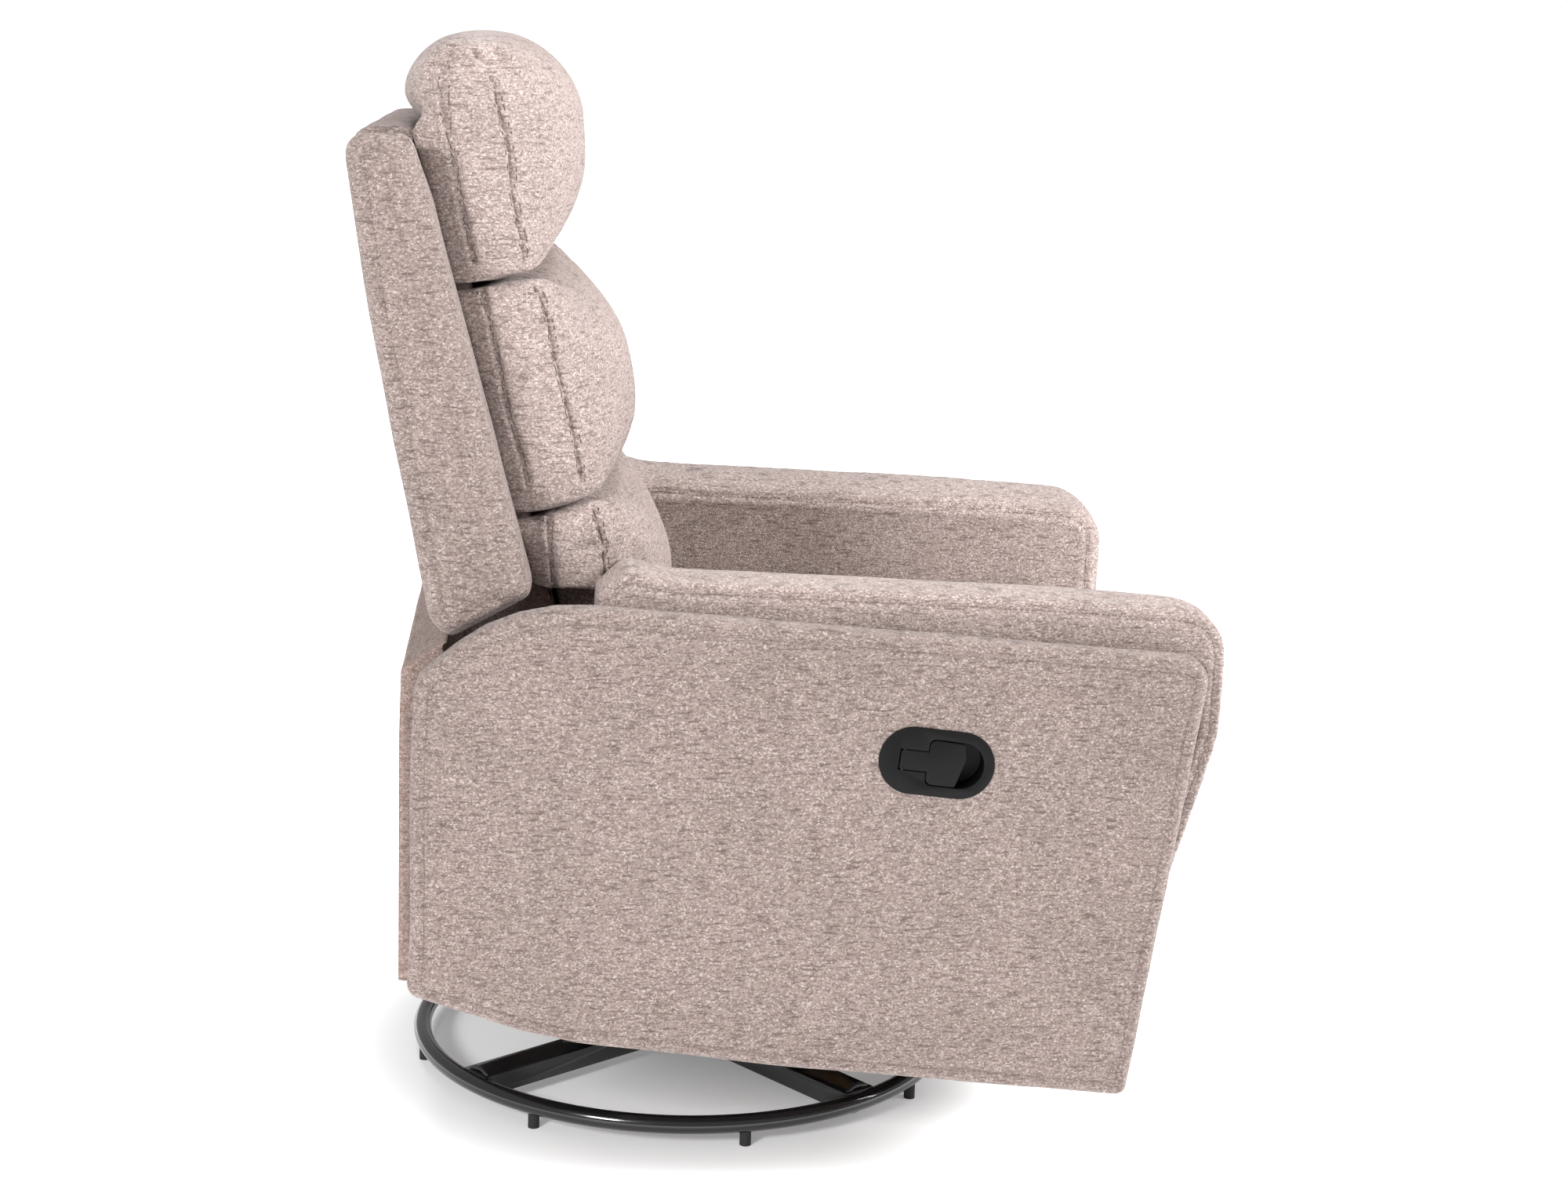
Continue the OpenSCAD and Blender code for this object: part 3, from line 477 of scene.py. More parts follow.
def chenille_group():
    """Chenille: tufts with tones of their own, light flecks in rows and short dark streaks."""
    group, n, way_in, way_out = group_of(
        "chenille",
        [("Vector", "Vector", None), ("Ground", "Color", tone(180, 163, 158)),
         ("Fleck", "Color", tone(235, 224, 216)), ("Shade", "Color", tone(120, 100, 95))],
        [("Color", "Color"), ("Height", "Float")])
    place = way_in["Vector"]
    tuft = n.add("ShaderNodeTexVoronoi", {"Vector": n.stretch(place, (640, 640, 820)), "Scale": 1.0,
                                          "Randomness": 0.9})
    own = n.add("ShaderNodeSeparateColor", {0: tuft.outputs["Color"]}).outputs[0]
    yarn = n.add("ShaderNodeTexNoise", {"Vector": n.stretch(place, (240, 240, 560)), "Scale": 1.0,
                                        "Detail": 3.0, "Roughness": 0.65}).outputs[0]
    streak = n.add("ShaderNodeTexNoise", {"Vector": n.stretch(place, (60, 60, 420)), "Scale": 1.0,
                                          "Detail": 2.0, "Roughness": 0.55}).outputs[0]
    cloud = n.add("ShaderNodeTexNoise", {"Vector": place, "Scale": 11.0, "Detail": 2.0}).outputs[0]
    dark = n.spread(n.math("ADD", n.math("MULTIPLY", own, 0.45), yarn), 0.95, 0.45)
    dark = n.math("MULTIPLY", dark, 0.78, clamp=True)
    line = n.math("MULTIPLY", n.spread(streak, 0.46, 0.31), 0.72, clamp=True)
    fleck = n.spread(n.math("ADD", own, n.math("MULTIPLY", yarn, 0.6)), 1.16, 1.40)
    fleck = n.math("MULTIPLY", fleck, 0.60, clamp=True)
    colour = n.mix(dark, way_in["Ground"], way_in["Shade"])
    colour = n.mix(line, colour, way_in["Shade"])
    colour = n.mix(fleck, colour, way_in["Fleck"])
    hue = n.add("ShaderNodeHueSaturation", {"Color": colour, "Value": n.spread(cloud, 0.3, 0.7, 0.95, 1.05)})
    rounded = n.spread(tuft.outputs["Distance"], 0.0, 0.75, 1.0, 0.0)
    height = n.math("ADD", n.math("MULTIPLY", rounded, 0.75), n.math("MULTIPLY", yarn, 0.4))
    n.put(way_out.inputs["Color"], hue.outputs[0])
    n.put(way_out.inputs["Height"], height)
    return group


def speckle_group():
    """Fine grain of a moulding or a coat: a height and a slowly changing mask."""
    group, n, way_in, way_out = group_of(
        "fine_grain", [("Vector", "Vector", None), ("Scale", "Float", 900.0)],
        [("Height", "Float"), ("Mask", "Float")])
    fine = n.add("ShaderNodeTexNoise", {"Vector": way_in["Vector"], "Scale": way_in["Scale"], "Detail": 2.0})
    slow = n.add("ShaderNodeTexNoise", {"Vector": way_in["Vector"], "Scale": 14.0, "Detail": 4.0,
                                        "Roughness": 0.6})
    n.put(way_out.inputs["Height"], fine.outputs[0])
    n.put(way_out.inputs["Mask"], n.spread(slow.outputs[0], 0.35, 0.65))
    return group


CHENILLE, GRAIN = chenille_group(), speckle_group()


def start_material(name, **constants):
    material = bpy.data.materials.new(name)
    material.use_nodes = True
    n = Nodes(material.node_tree)
    shader = material.node_tree.nodes["Principled BSDF"]
    for key, value in constants.items():
        shader.inputs[key.replace("_", " ")].default_value = value
    return material, n, shader, n.add("ShaderNodeTexCoord").outputs["Object"]


def chenille(name, ground, fleck, shade):
    """The chair's cloth, in its ground tone, its flecks and its dark yarn."""
    material, n, shader, place = start_material(
        name, Roughness=0.95, Sheen_Weight=0.12, Sheen_Roughness=0.5, Specular_IOR_Level=0.12)
    weave = n.add("ShaderNodeGroup", node_tree=CHENILLE)
    for key, value in (("Vector", place), ("Ground", ground), ("Fleck", fleck), ("Shade", shade)):
        n.put(weave.inputs[key], value)
    relief = n.add("ShaderNodeBump", {"Height": weave.outputs["Height"], "Strength": 0.55,
                                      "Distance": 0.9 * MM})
    n.put(shader.inputs["Base Color"], weave.outputs["Color"])
    n.put(shader.inputs["Normal"], relief.outputs[0])
    return material


def hard_coat(name, colour, rough, grain=900.0, relief=0.1, metal=0.0, tint=0.85, **more):
    """A painted, plated or moulded surface with fine grain and slow changes of gloss."""
    material, n, shader, place = start_material(name, Metallic=metal, **more)
    speckle = n.add("ShaderNodeGroup", {"Vector": place, "Scale": grain}, node_tree=GRAIN)
    low = tuple(c * tint for c in colour[:3]) + (1.0,)
    n.put(shader.inputs["Base Color"], n.mix(speckle.outputs["Mask"], low, colour))
    n.put(shader.inputs["Roughness"], n.spread(speckle.outputs["Mask"], 0, 1, rough * 0.85, rough * 1.15))
    bump = n.add("ShaderNodeBump", {"Height": speckle.outputs["Height"], "Strength": relief,
                                    "Distance": 0.2 * MM})
    n.put(shader.inputs["Normal"], bump.outputs[0])
    return material


def sawn_timber(name):
    """Pine boards: wide rings and fine fibres along x."""
    material, n, shader, place = start_material(name, Roughness=0.7)
    ring = n.add("ShaderNodeTexNoise", {"Vector": n.stretch(place, (6, 60, 60)), "Scale": 1.0,
                                        "Detail": 6.0, "Roughness": 0.6, "Distortion": 0.4}).outputs[0]
    fibre = n.add("ShaderNodeTexNoise", {"Vector": n.stretch(place, (40, 700, 700)), "Scale": 1.0,
                                         "Detail": 3.0}).outputs[0]
    colour = n.mix(n.spread(ring, 0.35, 0.65), tone(206, 170, 124), tone(166, 124, 80))
    colour = n.mix(n.spread(fibre, 0.5, 0.75, 0, 0.4), colour, tone(120, 84, 52))
    bump = n.add("ShaderNodeBump", {"Height": fibre, "Strength": 0.3, "Distance": 0.3 * MM})
    n.put(shader.inputs["Base Color"], colour)
    n.put(shader.inputs["Normal"], bump.outputs[0])
    return material


panel_cloth = chenille("panel_chenille", tone(147, 133, 128), tone(192, 183, 178), tone(84, 70, 66))
pillow_cloth = chenille("pillow_chenille", tone(171, 156, 151), tone(214, 205, 200), tone(98, 83, 78))
# A darker copy of the chair's chenille: painted shade for the gaps and recesses where it lies
shade_liner_cloth = chenille("painted_shade_chenille", tone(120, 104, 98), tone(150, 136, 130), tone(80, 66, 62))
skirt_cloth = chenille("skirt_chenille", tone(150, 132, 125), tone(186, 172, 164), tone(98, 80, 73))
thread = hard_coat("taupe_thread", tone(122, 104, 98), 0.8, grain=1500.0, relief=0.3)
# Darker than the taupe thread: the stitches are real, their dark tone is painted shade of the seam's groove
seam_shade_thread = hard_coat("painted_shade_thread", tone(96, 78, 73), 0.9, grain=1500.0, relief=0.3)
felt = hard_coat("black_felt", tone(46, 45, 47), 0.95, grain=1300.0, relief=0.8)
ring_gloss = hard_coat("gloss_black_coat", tone(20, 20, 22), 0.16, grain=260.0, relief=0.05,
                       Coat_Weight=0.4, Coat_Roughness=0.08)
satin_black = hard_coat("satin_black_coat", tone(34, 34, 37), 0.42, grain=700.0, relief=0.12)
zinc = hard_coat("zinc_plate", tone(186, 188, 192), 0.34, grain=500.0, relief=0.08, metal=1.0)
rubber = hard_coat("foot_rubber", tone(32, 32, 33), 0.8, relief=0.25)
moulding = hard_coat("matt_black_moulding", tone(8, 8, 9), 0.5, grain=1600.0, relief=0.22,
                     Specular_IOR_Level=0.16)
timber = sawn_timber("sawn_timber")


# ---- The chair's covers ----

BACK, CARRIAGE = "back", "carriage"
HANDS = (("left", 1.0), ("right", -1.0))
SEAM_STEP = 2 * MM
RAISED = dict(pitch=3 * MM, long=3.3 * MM, thick=1.0 * MM, sink=0.5 * MM)  # the thread of a closed seam


def faces_of(node, side):
    """Where a side piece's inner face and outer face lie across the chair."""
    low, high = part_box(node)
    return (low.x, high.x) if side > 0 else (high.x, low.x)


def press_seams(piece, seams, first_seed, **groove):
    for number, line in enumerate(seams):
        press_seam(piece, line, seed=first_seed + number, **groove)


def cover(piece, cloth, body, slot, node, fill):
    """Gives a shaped cover its cloth and its place in the frame. The fill is not used."""
    smooth_all(piece)
    settle(piece, cloth, body, slot, node)


def sew_seams(name, seams, piece, yarn, body, slot, **stitch):
    """All the stitches of one cover, as one piece."""
    rows = [sew(name, line, piece, **stitch) for line in seams]
    settle(join(rows), yarn, body, slot)


def level_seam(x, y, z):
    """A straight seam: one of x, y and z is a row of places, and the others are a place or a row."""
    return np.column_stack(np.broadcast_arrays(x, y, z))


def ring_seam(low, high, axis, level, inset, corner=30 * MM):
    """A seam around a box face, with round corners, in the plane where axis has this level."""
    a, b = [i for i in range(3) if i != axis]
    lo, hi = (low[a] + inset, low[b] + inset), (high[a] - inset, high[b] - inset)
    corners = ((hi[0] - corner, hi[1] - corner, 0), (lo[0] + corner, hi[1] - corner, 90),
               (lo[0] + corner, lo[1] + corner, 180), (hi[0] - corner, lo[1] + corner, 270))
    line = []
    for centre_a, centre_b, start in corners:
        for turn in np.radians(np.linspace(start, start + 90, 7)):
            point = [0.0, 0.0, 0.0]
            point[axis] = level
            point[a] = centre_a + corner * math.cos(turn)
            point[b] = centre_b + corner * math.sin(turn)
            line.append(point)
    return even_line(line + line[:1], SEAM_STEP)


def lean_line(z):
    """The line that the backrest follows, up from the recline pivot."""
    pivot = next(j for j in frame["joints"] if j["name"] == "recline")["pos_m"]
    return pivot[1] + (z - pivot[2]) * math.tan(LEAN)


def side_panels():
    """Thin panels. The upper rear corner is fuller, where the cover turns over the board."""
    def fuller(y, z):
        return 8 * MM * blend_in(y, 0.18, 0.30) * blend_in(z, 0.22, 0.42)

    for hand, side in HANDS:
        node = "side_panel_" + hand
        x_in, x_out = faces_of(node, side)
        loop = cut_outline(node, (x_in + x_out) / 2)
        loop = Outline(loop).loop
        loop[:, 0] += fuller(loop[:, 0], loop[:, 1])
        outline = Outline(loop)
        piece = copy_node(node, "panel_cover_" + hand)
        fine_skin(piece, 3 * MM, 0)
        points = get_points(piece)
        points[:, 1] += fuller(points[:, 1], points[:, 2])
        set_points(piece, points)
        pad_slab(piece, outline, x_in, x_out, round_in=2 * MM, round_out=9 * MM,
                 crown_in=0, crown_out=1.5 * MM)
        ease(piece, 2)
        seam = outline.inset(13 * MM, x_out)
        press_seam(piece, seam, width=2.2 * MM, depth=1.5 * MM, swell=0.9 * MM, seed=1)
        ripple(piece, height=0.5 * MM, scale=22, seed=1)
        cover(piece, panel_cloth, CARRIAGE, "panel_fabric", node, fill=0.9)
        row = sew("panel_stitches_" + hand, np.vstack([seam, seam[:1]]), piece)
        settle(row, thread, CARRIAGE, "panel_fabric")


def arm_pads():
    """Full pads over the arms. Their crests fall a little towards the seat."""
    crest_low, crest_high = 0.42, 0.55
    crest_drop, inner_drop = 3 * MM, 9 * MM
    flat_top, slope = 40 * MM, 70 * MM
    for hand, side in HANDS:
        node = "arm_pad_" + hand
        low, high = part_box(node)
        x_in, x_out = faces_of(node, side)
        outline = Outline(cut_outline(node, x_in + side * 2 * MM))
        piece = copy_node(node, "arm_cover_" + hand)
        fine_skin(piece, 4 * MM, 0)
        pad_slab(piece, outline, x_in, x_out, round_in=16 * MM, round_out=6 * MM,
                 crown_in=2 * MM, crown_out=0, rim_crown=2 * MM)
        points = get_points(piece)
        inner = np.clip((abs(x_out) - flat_top - np.abs(points[:, 0])) / slope, 0, 1) ** 1.3
        points[:, 2] -= (crest_drop + inner_drop * inner) * blend_in(points[:, 2], crest_low, crest_high)
        outline.loop[:, 1] -= crest_drop * blend_in(outline.loop[:, 1], crest_low, crest_high)
        set_points(piece, points)
        ease(piece, 2)

        def stitched(y, z):
            return z > low.z + 12 * MM and y < high.y - 14 * MM

        seams = [outline.inset(16 * MM, x_in, stitched), outline.inset(9 * MM, x_out, stitched)]
        press_seams(piece, seams, 2, width=2.4 * MM, depth=1.8 * MM, swell=1.2 * MM)
        ripple(piece, height=0.8 * MM, scale=16, seed=2)
        cover(piece, pillow_cloth, CARRIAGE, "cushion_fabric", node, fill=0.8)
        sew_seams("arm_stitches_" + hand, seams, piece, thread, CARRIAGE, "cushion_fabric")


def wings():
    """The back's side wings. Their tops fall away towards the head pillow."""
    top_drop, inner_drop, shoulder = 4 * MM, 12 * MM, 70 * MM
    for hand, side in HANDS:
        node = "back_wing_" + hand
        low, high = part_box(node)
        x_in, x_out = faces_of(node, side)
        outline = Outline(cut_outline(node, (x_in + x_out) / 2))
        piece = copy_node(node, "wing_cover_" + hand)
        fine_skin(piece, 3.5 * MM, 0)
        pad_slab(piece, outline, x_in, x_out, round_in=10 * MM, round_out=15 * MM,
                 crown_in=1 * MM, crown_out=5 * MM, rim_crown=2 * MM)
        ease(piece, 2)
        points = get_points(piece)
        inner = blend_in(-np.abs(points[:, 0]), -abs(x_out) + 6 * MM, -abs(x_in) - 14 * MM)
        points[:, 2] -= (top_drop + inner_drop * inner) * blend_in(points[:, 2], high.z - shoulder, high.z)
        set_points(piece, points)

        def behind(y, z):
            return y > lean_line(z) + 24 * MM and low.z + 20 * MM < z < high.z - 12 * MM

        seam = outline.inset(15 * MM, x_out, behind)
        press_seam(piece, seam, width=3 * MM, depth=2.2 * MM, swell=1.4 * MM, seed=6)
        ripple(piece, height=1.0 * MM, scale=14, seed=5)
        cover(piece, panel_cloth, BACK, "panel_fabric", node, fill=0.85)
        settle(sew("wing_stitches_" + hand, seam, piece), thread, BACK, "panel_fabric")


# ---- Pillows ----

def side_rows(rows):
    """A seam's depth at any height, from its bends as (depth, height) in mm."""
    rows = np.array(sorted((z * MM, y * MM) for y, z in rows))
    return lambda z: np.interp(z, rows[:, 0], rows[:, 1])


head_low, mid_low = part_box("head_pillow")[0].z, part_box("mid_pillow")[0].z
head_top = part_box("head_pillow")[1].z
wing_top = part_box("back_wing_left")[1].z
half_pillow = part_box("head_pillow")[1].x
# Each pillow's front seam and rear seam, at its two ends
SEAMS = {
    "head_pillow": (
        side_rows([(231, 826), (234, 845), (241, 879), (246, 906), (250, 940), (257, 973), (263, 1003),
                   (275, 1024)]),
        side_rows([(286, 813), (286, 826), (290, 850), (298, 884), (305, 925), (310, 948), (317, 978),
                   (321, 1004), (313, 1020)])),
    "mid_pillow": (
        side_rows([(175, 622), (182, 657), (193, 700), (210, 769), (220, 814), (228, 828)]),
        side_rows([(231, 610), (241, 656), (254, 698), (270, 775), (279, 808), (283, 822)])),
    "lumbar_pillow": (
        side_rows([(157, 460), (157, 551), (159, 564), (165, 608), (169, 631)]),
        side_rows([(211, 535), (218, 603), (223, 625)]))}
# The joints between the pillows rise a little towards the front
HEAD_JOINT = ((228, 824), (262, 818), (286, 812), (300, 811))
MID_JOINT = ((176, 622), (204, 614), (232, 606), (253, 606))

# Across the chair, from its middle: the stiles' inner edges, their rounding, and the wings' inner faces
STILE_IN, STILE_ROUND, WING_IN = 240 * MM, 7 * MM, 254 * MM


def tilt_joint(points, level, rows):
    """Moves the pillows beside a joint so that it follows the rows."""
    rows = np.array(rows, float) * MM
    drop = np.interp(points[:, 1], rows[:, 0], rows[:, 1]) - level
    near = 1 - blend_in(np.abs(points[:, 2] - level), 4 * MM, 60 * MM)
    points[:, 2] += drop * near


def pillow_front(node, reach, z):
    """How far forward the plain pillow comes at each point."""
    front = Profile(cut_outline(node, 0.0)).front(z)
    if node != "lumbar_pillow":
        return front
    beside_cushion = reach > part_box("seat_cushion")[1].x - 2 * MM
    return np.where(beside_cushion, Profile(cut_outline(node, half_pillow - 4 * MM)).front(z), front)


def pillow_rear(node, reach, z):
    """The rear of a shaped pillow: tucked between the wings, and domed where it stands above them."""
    tuck, step, corner_tuck, dome_past_seam = 18 * MM, 21 * MM, 10 * MM, 8 * MM
    centre_rear = Profile(cut_outline(node, 0.0)).rear(z)
    tucked = lean_line(z) - tuck + blend_in(reach, STILE_IN, STILE_IN + STILE_ROUND) * step
    corner = np.clip((reach - WING_IN) / (half_pillow - WING_IN), 0, 1) ** 3
    tucked -= corner_tuck * corner
    if node != "head_pillow":
        return tucked
    free = blend_in(z, wing_top - 4 * MM, wing_top + 22 * MM)
    dome = centre_rear + (SEAMS[node][1](z) + dome_past_seam - centre_rear) * (reach / half_pillow) ** 4
    return tucked + (dome - tucked) * free


def shape_pillow(piece, node):
    """Draws the ends of a straight pillow in to its seams and tucks its rear between the wings."""
    points = get_points(piece)
    reach, z = np.abs(points[:, 0]), points[:, 2]
    centre = Profile(cut_outline(node, 0.0))
    old_front, old_rear = pillow_front(node, reach, z), centre.rear(z)
    share = np.clip((old_rear - points[:, 1]) / (old_rear - old_front), 0, 1)
    across = (reach / half_pillow) ** 2.7
    front = centre.front(z) + (SEAMS[node][0](z) - centre.front(z)) * across
    rear = pillow_rear(node, reach, z)
    points[:, 1] = rear - share * (rear - front)
    end = blend_in(reach, half_pillow - 40 * MM, half_pillow)
    round_front = np.clip((share - 0.62) / 0.38, 0, 1) ** 2 * 13 * MM
    round_rear = np.clip((0.3 - share) / 0.3, 0, 1) ** 2 * 4 * MM
    from_joint = np.minimum(np.abs(z - head_low), np.abs(z - mid_low))
    drawn_in = (1 - blend_in(from_joint, 0, 34 * MM)) * 7 * MM
    if node == "head_pillow":
        rise = blend_in(z, head_top - 110 * MM, head_top)
        drawn_in += 26 * MM * rise ** 2
        points[:, 2] -= 9 * MM * rise * (reach / half_pillow) ** 3
    points[:, 0] -= np.sign(points[:, 0]) * end * (round_front + round_rear + drawn_in)
    tilt_joint(points, head_low, HEAD_JOINT)
    tilt_joint(points, mid_low, MID_JOINT)
    set_points(piece, points)


def pillow_seam(node, rows, side):
    low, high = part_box(node)
    heights = np.arange(low.z + 5 * MM, high.z - 4 * MM, SEAM_STEP)
    return level_seam(side * (half_pillow - 2 * MM), rows(heights), heights)


def pillows():
    """Three stuffed pillows, held along the wings and free in front."""
    for seed, node in enumerate(SEAMS):
        name = node.replace("_pillow", "")
        piece = copy_node(node, name + "_cover")
        fine_skin(piece, 5 * MM, 1)
        shape_pillow(piece, node)
        ease(piece, 7)
        fine_skin(piece, 4.2 * MM, 1)
        points = get_points(piece)
        lean = lean_line(points[:, 2])
        hold = blend_in(points[:, 1], lean - 34 * MM, lean - 20 * MM)
        hold = np.where(points[:, 2] > wing_top, 0, hold)
        set_points(piece, points - get_normals(piece) * 2 * MM)
        stuff(piece, hold, swell=8 * MM)
        refine(piece)
        seams = [pillow_seam(node, rows, side) for rows in SEAMS[node] for side in (1, -1)]
        press_seams(piece, seams, seed, width=2.2 * MM, depth=3.6 * MM, swell=1.2 * MM)
        ripple(piece, height=1.2 * MM, scale=9, seed=7 + seed)
        cover(piece, pillow_cloth, BACK, "cushion_fabric", node, fill=0.8)
        # Close stitches in the darker thread, which paints the shade in the seam's groove
        sew_seams(name + "_seam", seams, piece, seam_shade_thread, BACK, "cushion_fabric",
                  pitch=3 * MM, long=3.4 * MM, thick=1.2 * MM, sink=0.3 * MM)


# ---- Seat, footrest and back ----

def seat_cushion():
    low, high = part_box("seat_cushion")
    piece = copy_node("seat_cushion", "seat_cover")
    fine_skin(piece, 7 * MM, 3)
    points = get_points(piece)
    x = points[:, 0] / high.x
    y = (points[:, 1] - low.y) / (high.y - low.y) * 2 - 1
    top = blend_in(points[:, 2], (low.z + high.z) / 2, high.z)
    crown = (1 - np.abs(x) ** 4) * (1 - np.clip(y, 0, 1) ** 4)
    points[:, 2] -= 12 * MM * top * (1 - crown)
    set_points(piece, points - get_normals(piece) * 3 * MM)
    hold = 1 - blend_in(get_points(piece)[:, 2], low.z + 4 * MM, low.z + 20 * MM)
    stuff(piece, hold, swell=9 * MM)
    refine(piece)
    seams = [ring_seam(low, high, 2, high.z - 12 * MM, 4 * MM),
             ring_seam(low, high, 2, low.z + 16 * MM, 2 * MM)]
    press_seams(piece, seams, 20, width=3 * MM, depth=3 * MM, swell=1.2 * MM)
    ripple(piece, height=1.2 * MM, scale=8, seed=9)
    cover(piece, pillow_cloth, CARRIAGE, "cushion_fabric", "seat_cushion", fill=0.8)
    # Close stitches in the darker thread, which paints the shade in the seam's groove
    sew_seams("seat_seam", seams, piece, seam_shade_thread, CARRIAGE, "cushion_fabric", **RAISED)


def footrest_pad():
    """A pad with one seam around its face and two channels across it."""
    low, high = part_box("footrest_pad")
    piece = copy_node("footrest_pad", "footrest_cover")
    fine_skin(piece, 6 * MM, 3)
    points = get_points(piece)
    set_points(piece, points - get_normals(piece) * 2 * MM)
    hold = blend_in(points[:, 1], high.y - 44 * MM, high.y - 34 * MM)
    stuff(piece, hold, swell=8 * MM)
    refine(piece)
    points = get_points(piece)
    levels = np.linspace(low.z, high.z, 30)
    fronts = np.array([points[np.abs(points[:, 2] - z) < 6 * MM, 1].min() for z in levels])
    around = ring_seam(low, high, 1, 0.0, 22 * MM)
    around[:, 1] = np.interp(around[:, 2], levels, fronts)
    seams = [around]
    for share in (1 / 3, 2 / 3):
        z = low.z + (high.z - low.z) * share
        x = np.arange(low.x + 24 * MM, high.x - 24 * MM, SEAM_STEP)
        seams.append(level_seam(x, np.interp(z, levels, fronts), z))
    press_seams(piece, seams, 30, width=5 * MM, depth=4 * MM, swell=1.5 * MM)
    ripple(piece, height=0.8 * MM, scale=12, seed=11)
    cover(piece, pillow_cloth, "footrest", "cushion_fabric", "footrest_pad", fill=0.8)
    # Close stitches in the darker thread, which paints the shade in the seam's groove
    sew_seams("footrest_seam", seams, piece, seam_shade_thread, "footrest", "cushion_fabric", **RAISED)


def back_cover():
    low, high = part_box("back_cover")
    piece = copy_node("back_cover", "rear_cover")
    fine_skin(piece, 5 * MM, 2)
    refine(piece)
    rear = Profile(cut_outline("back_cover", 0.0))
    edge, top_edge = 16 * MM, 24 * MM
    heights = np.arange(low.z + edge, high.z - edge, SEAM_STEP)
    across = np.arange(low.x + edge, high.x - edge, SEAM_STEP)
    seams = [level_seam(x, rear.rear(heights), heights) for x in (low.x + edge, high.x - edge)]
    seams += [level_seam(across, rear.rear(z), z) for z in (low.z + edge, high.z - top_edge)]
    press_seams(piece, seams, 40, width=2.6 * MM, depth=1.8 * MM, swell=1.0 * MM)
    ripple(piece, height=1.2 * MM, scale=8, seed=6)
    cover(piece, panel_cloth, BACK, "panel_fabric", "back_cover", fill=0.9)
    sew_seams("rear_cover_stitches", seams, piece, thread, BACK, "panel_fabric")


def stile_wraps():
    """Cloth over the fronts and sides of the wooden stiles, between the pillows and the wings; its dark tone is
    painted shade.
    """
    piece = copy_node("back_stiles", "stile_wrap")
    fine_skin(piece, 6 * MM, 0)
    set_points(piece, get_points(piece) + get_normals(piece) * 2.6 * MM)
    smooth_all(piece)
    # The wrap's darker chenille paints the shade between the pillows and the wings
    settle(piece, shade_liner_cloth, BACK, "panel_fabric")


# ---- Sheets ----

def cloth_sheet(name, across, along, place, thick):
    """A sheet made from a flat grid: place turns two shares, 0 to 1, into points."""
    bpy.ops.object.select_all(action="DESELECT")
    bpy.ops.mesh.primitive_grid_add(x_subdivisions=across, y_subdivisions=along, size=1)
    piece = bpy.context.active_object
    piece.name = name
    share = get_points(piece)[:, :2] + 0.5
    set_points(piece, place(share[:, 0], share[:, 1]))
    finish_modifier(piece, "SOLIDIFY", thickness=thick, offset=0.0)
    smooth_all(piece)
    return piece


def back_lining():
    """Cloth stretched over the springs behind the pillows."""
    stiles_low, stiles_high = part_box("back_stiles")
    foot, top = stiles_low.z + 60 * MM, stiles_high.z
    half_width, ahead = 242 * MM, 16.6 * MM

    def lie(across, up):
        z = foot + up * (top - foot)
        return level_seam((across * 2 - 1) * half_width, lean_line(z) - ahead, z)

    piece = cloth_sheet("back_lining", 40, 40, lie, 1 * MM)
    settle(piece, felt, BACK, "deck_cloth")


def rear_skirt():
    """A flap that hangs from its cord. Its two ends are turned in, out of sight."""
    low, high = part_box("rear_skirt")
    cord_y, cord_z, turned = low.y + 4 * MM, high.z - 4 * MM, 45 * MM
    path = np.array([(cord_y, cord_z), (high.y - 3.5 * MM, cord_z - 26 * MM),
                     (high.y - 3 * MM, cord_z - 90 * MM), (high.y - 3 * MM, low.z)])
    length = np.concatenate([[0], np.cumsum(np.linalg.norm(np.diff(path, axis=0), axis=1))])
    width = high.x - low.x + 2 * turned

    def hang(across, down):
        at = (1 - down) * length[-1]
        y, z = np.interp(at, length, path[:, 0]), np.interp(at, length, path[:, 1])
        waves = np.sin(across * 31) * (0.4 + 0.6 * np.sin(across * 13 + 1))
        sway = 1.6 * MM * waves * blend_in(at, 20 * MM, 120 * MM)
        from_end = np.minimum(across, 1 - across) * width
        folded = np.clip(turned - from_end, 0, None)
        x = np.sign(across - 0.5) * (width / 2 - np.maximum(from_end, turned))
        y -= folded * blend_in(at, 0, 50 * MM)
        return level_seam(x, y + sway * (folded == 0), z)

    piece = cloth_sheet("rear_skirt_cloth", 150, 90, hang, 1.8 * MM)
    hem = level_seam(np.arange(low.x + 6 * MM, high.x - 6 * MM, SEAM_STEP), high.y - 2 * MM, low.z + 14 * MM)
    settle(piece, skirt_cloth, "skirt", "panel_fabric", "rear_skirt")
    settle(sew("skirt_hem_stitches", hem, piece, sink=0.0), thread, "skirt", "panel_fabric")


def deck_sheet():
    """The seat's deck cloth, sagging a little between its edges."""
    low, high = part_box("seat_deck")
    level = (low.z + high.z) / 2

    def lie(across, along):
        x, y = low.x + across * (high.x - low.x), low.y + along * (high.y - low.y)
        waves = 1 + 0.3 * np.sin(across * 31)
        sag = 1.2 * MM * np.sin(across * math.pi) * np.sin(along * math.pi) * waves
        return level_seam(x, y, level - sag)

    piece = cloth_sheet("deck_sheet", 70, 70, lie, 1.2 * MM)
    settle(piece, felt, CARRIAGE, "deck_cloth", "seat_deck")


# ---- Base ring and the hard parts ----

ring_low, ring_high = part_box("base_ring")
ring_middle = (ring_low + ring_high) / 2
tube_r = (ring_high.z - ring_low.z) / 2
ring_r = (ring_high.x - ring_low.x) / 2 - tube_r
SLEEVE_START, SLEEVE_TURN = math.radians(60), math.radians(60)
CROSS_TURN = 38  # degrees, from the chair's side to the first arm of the cross


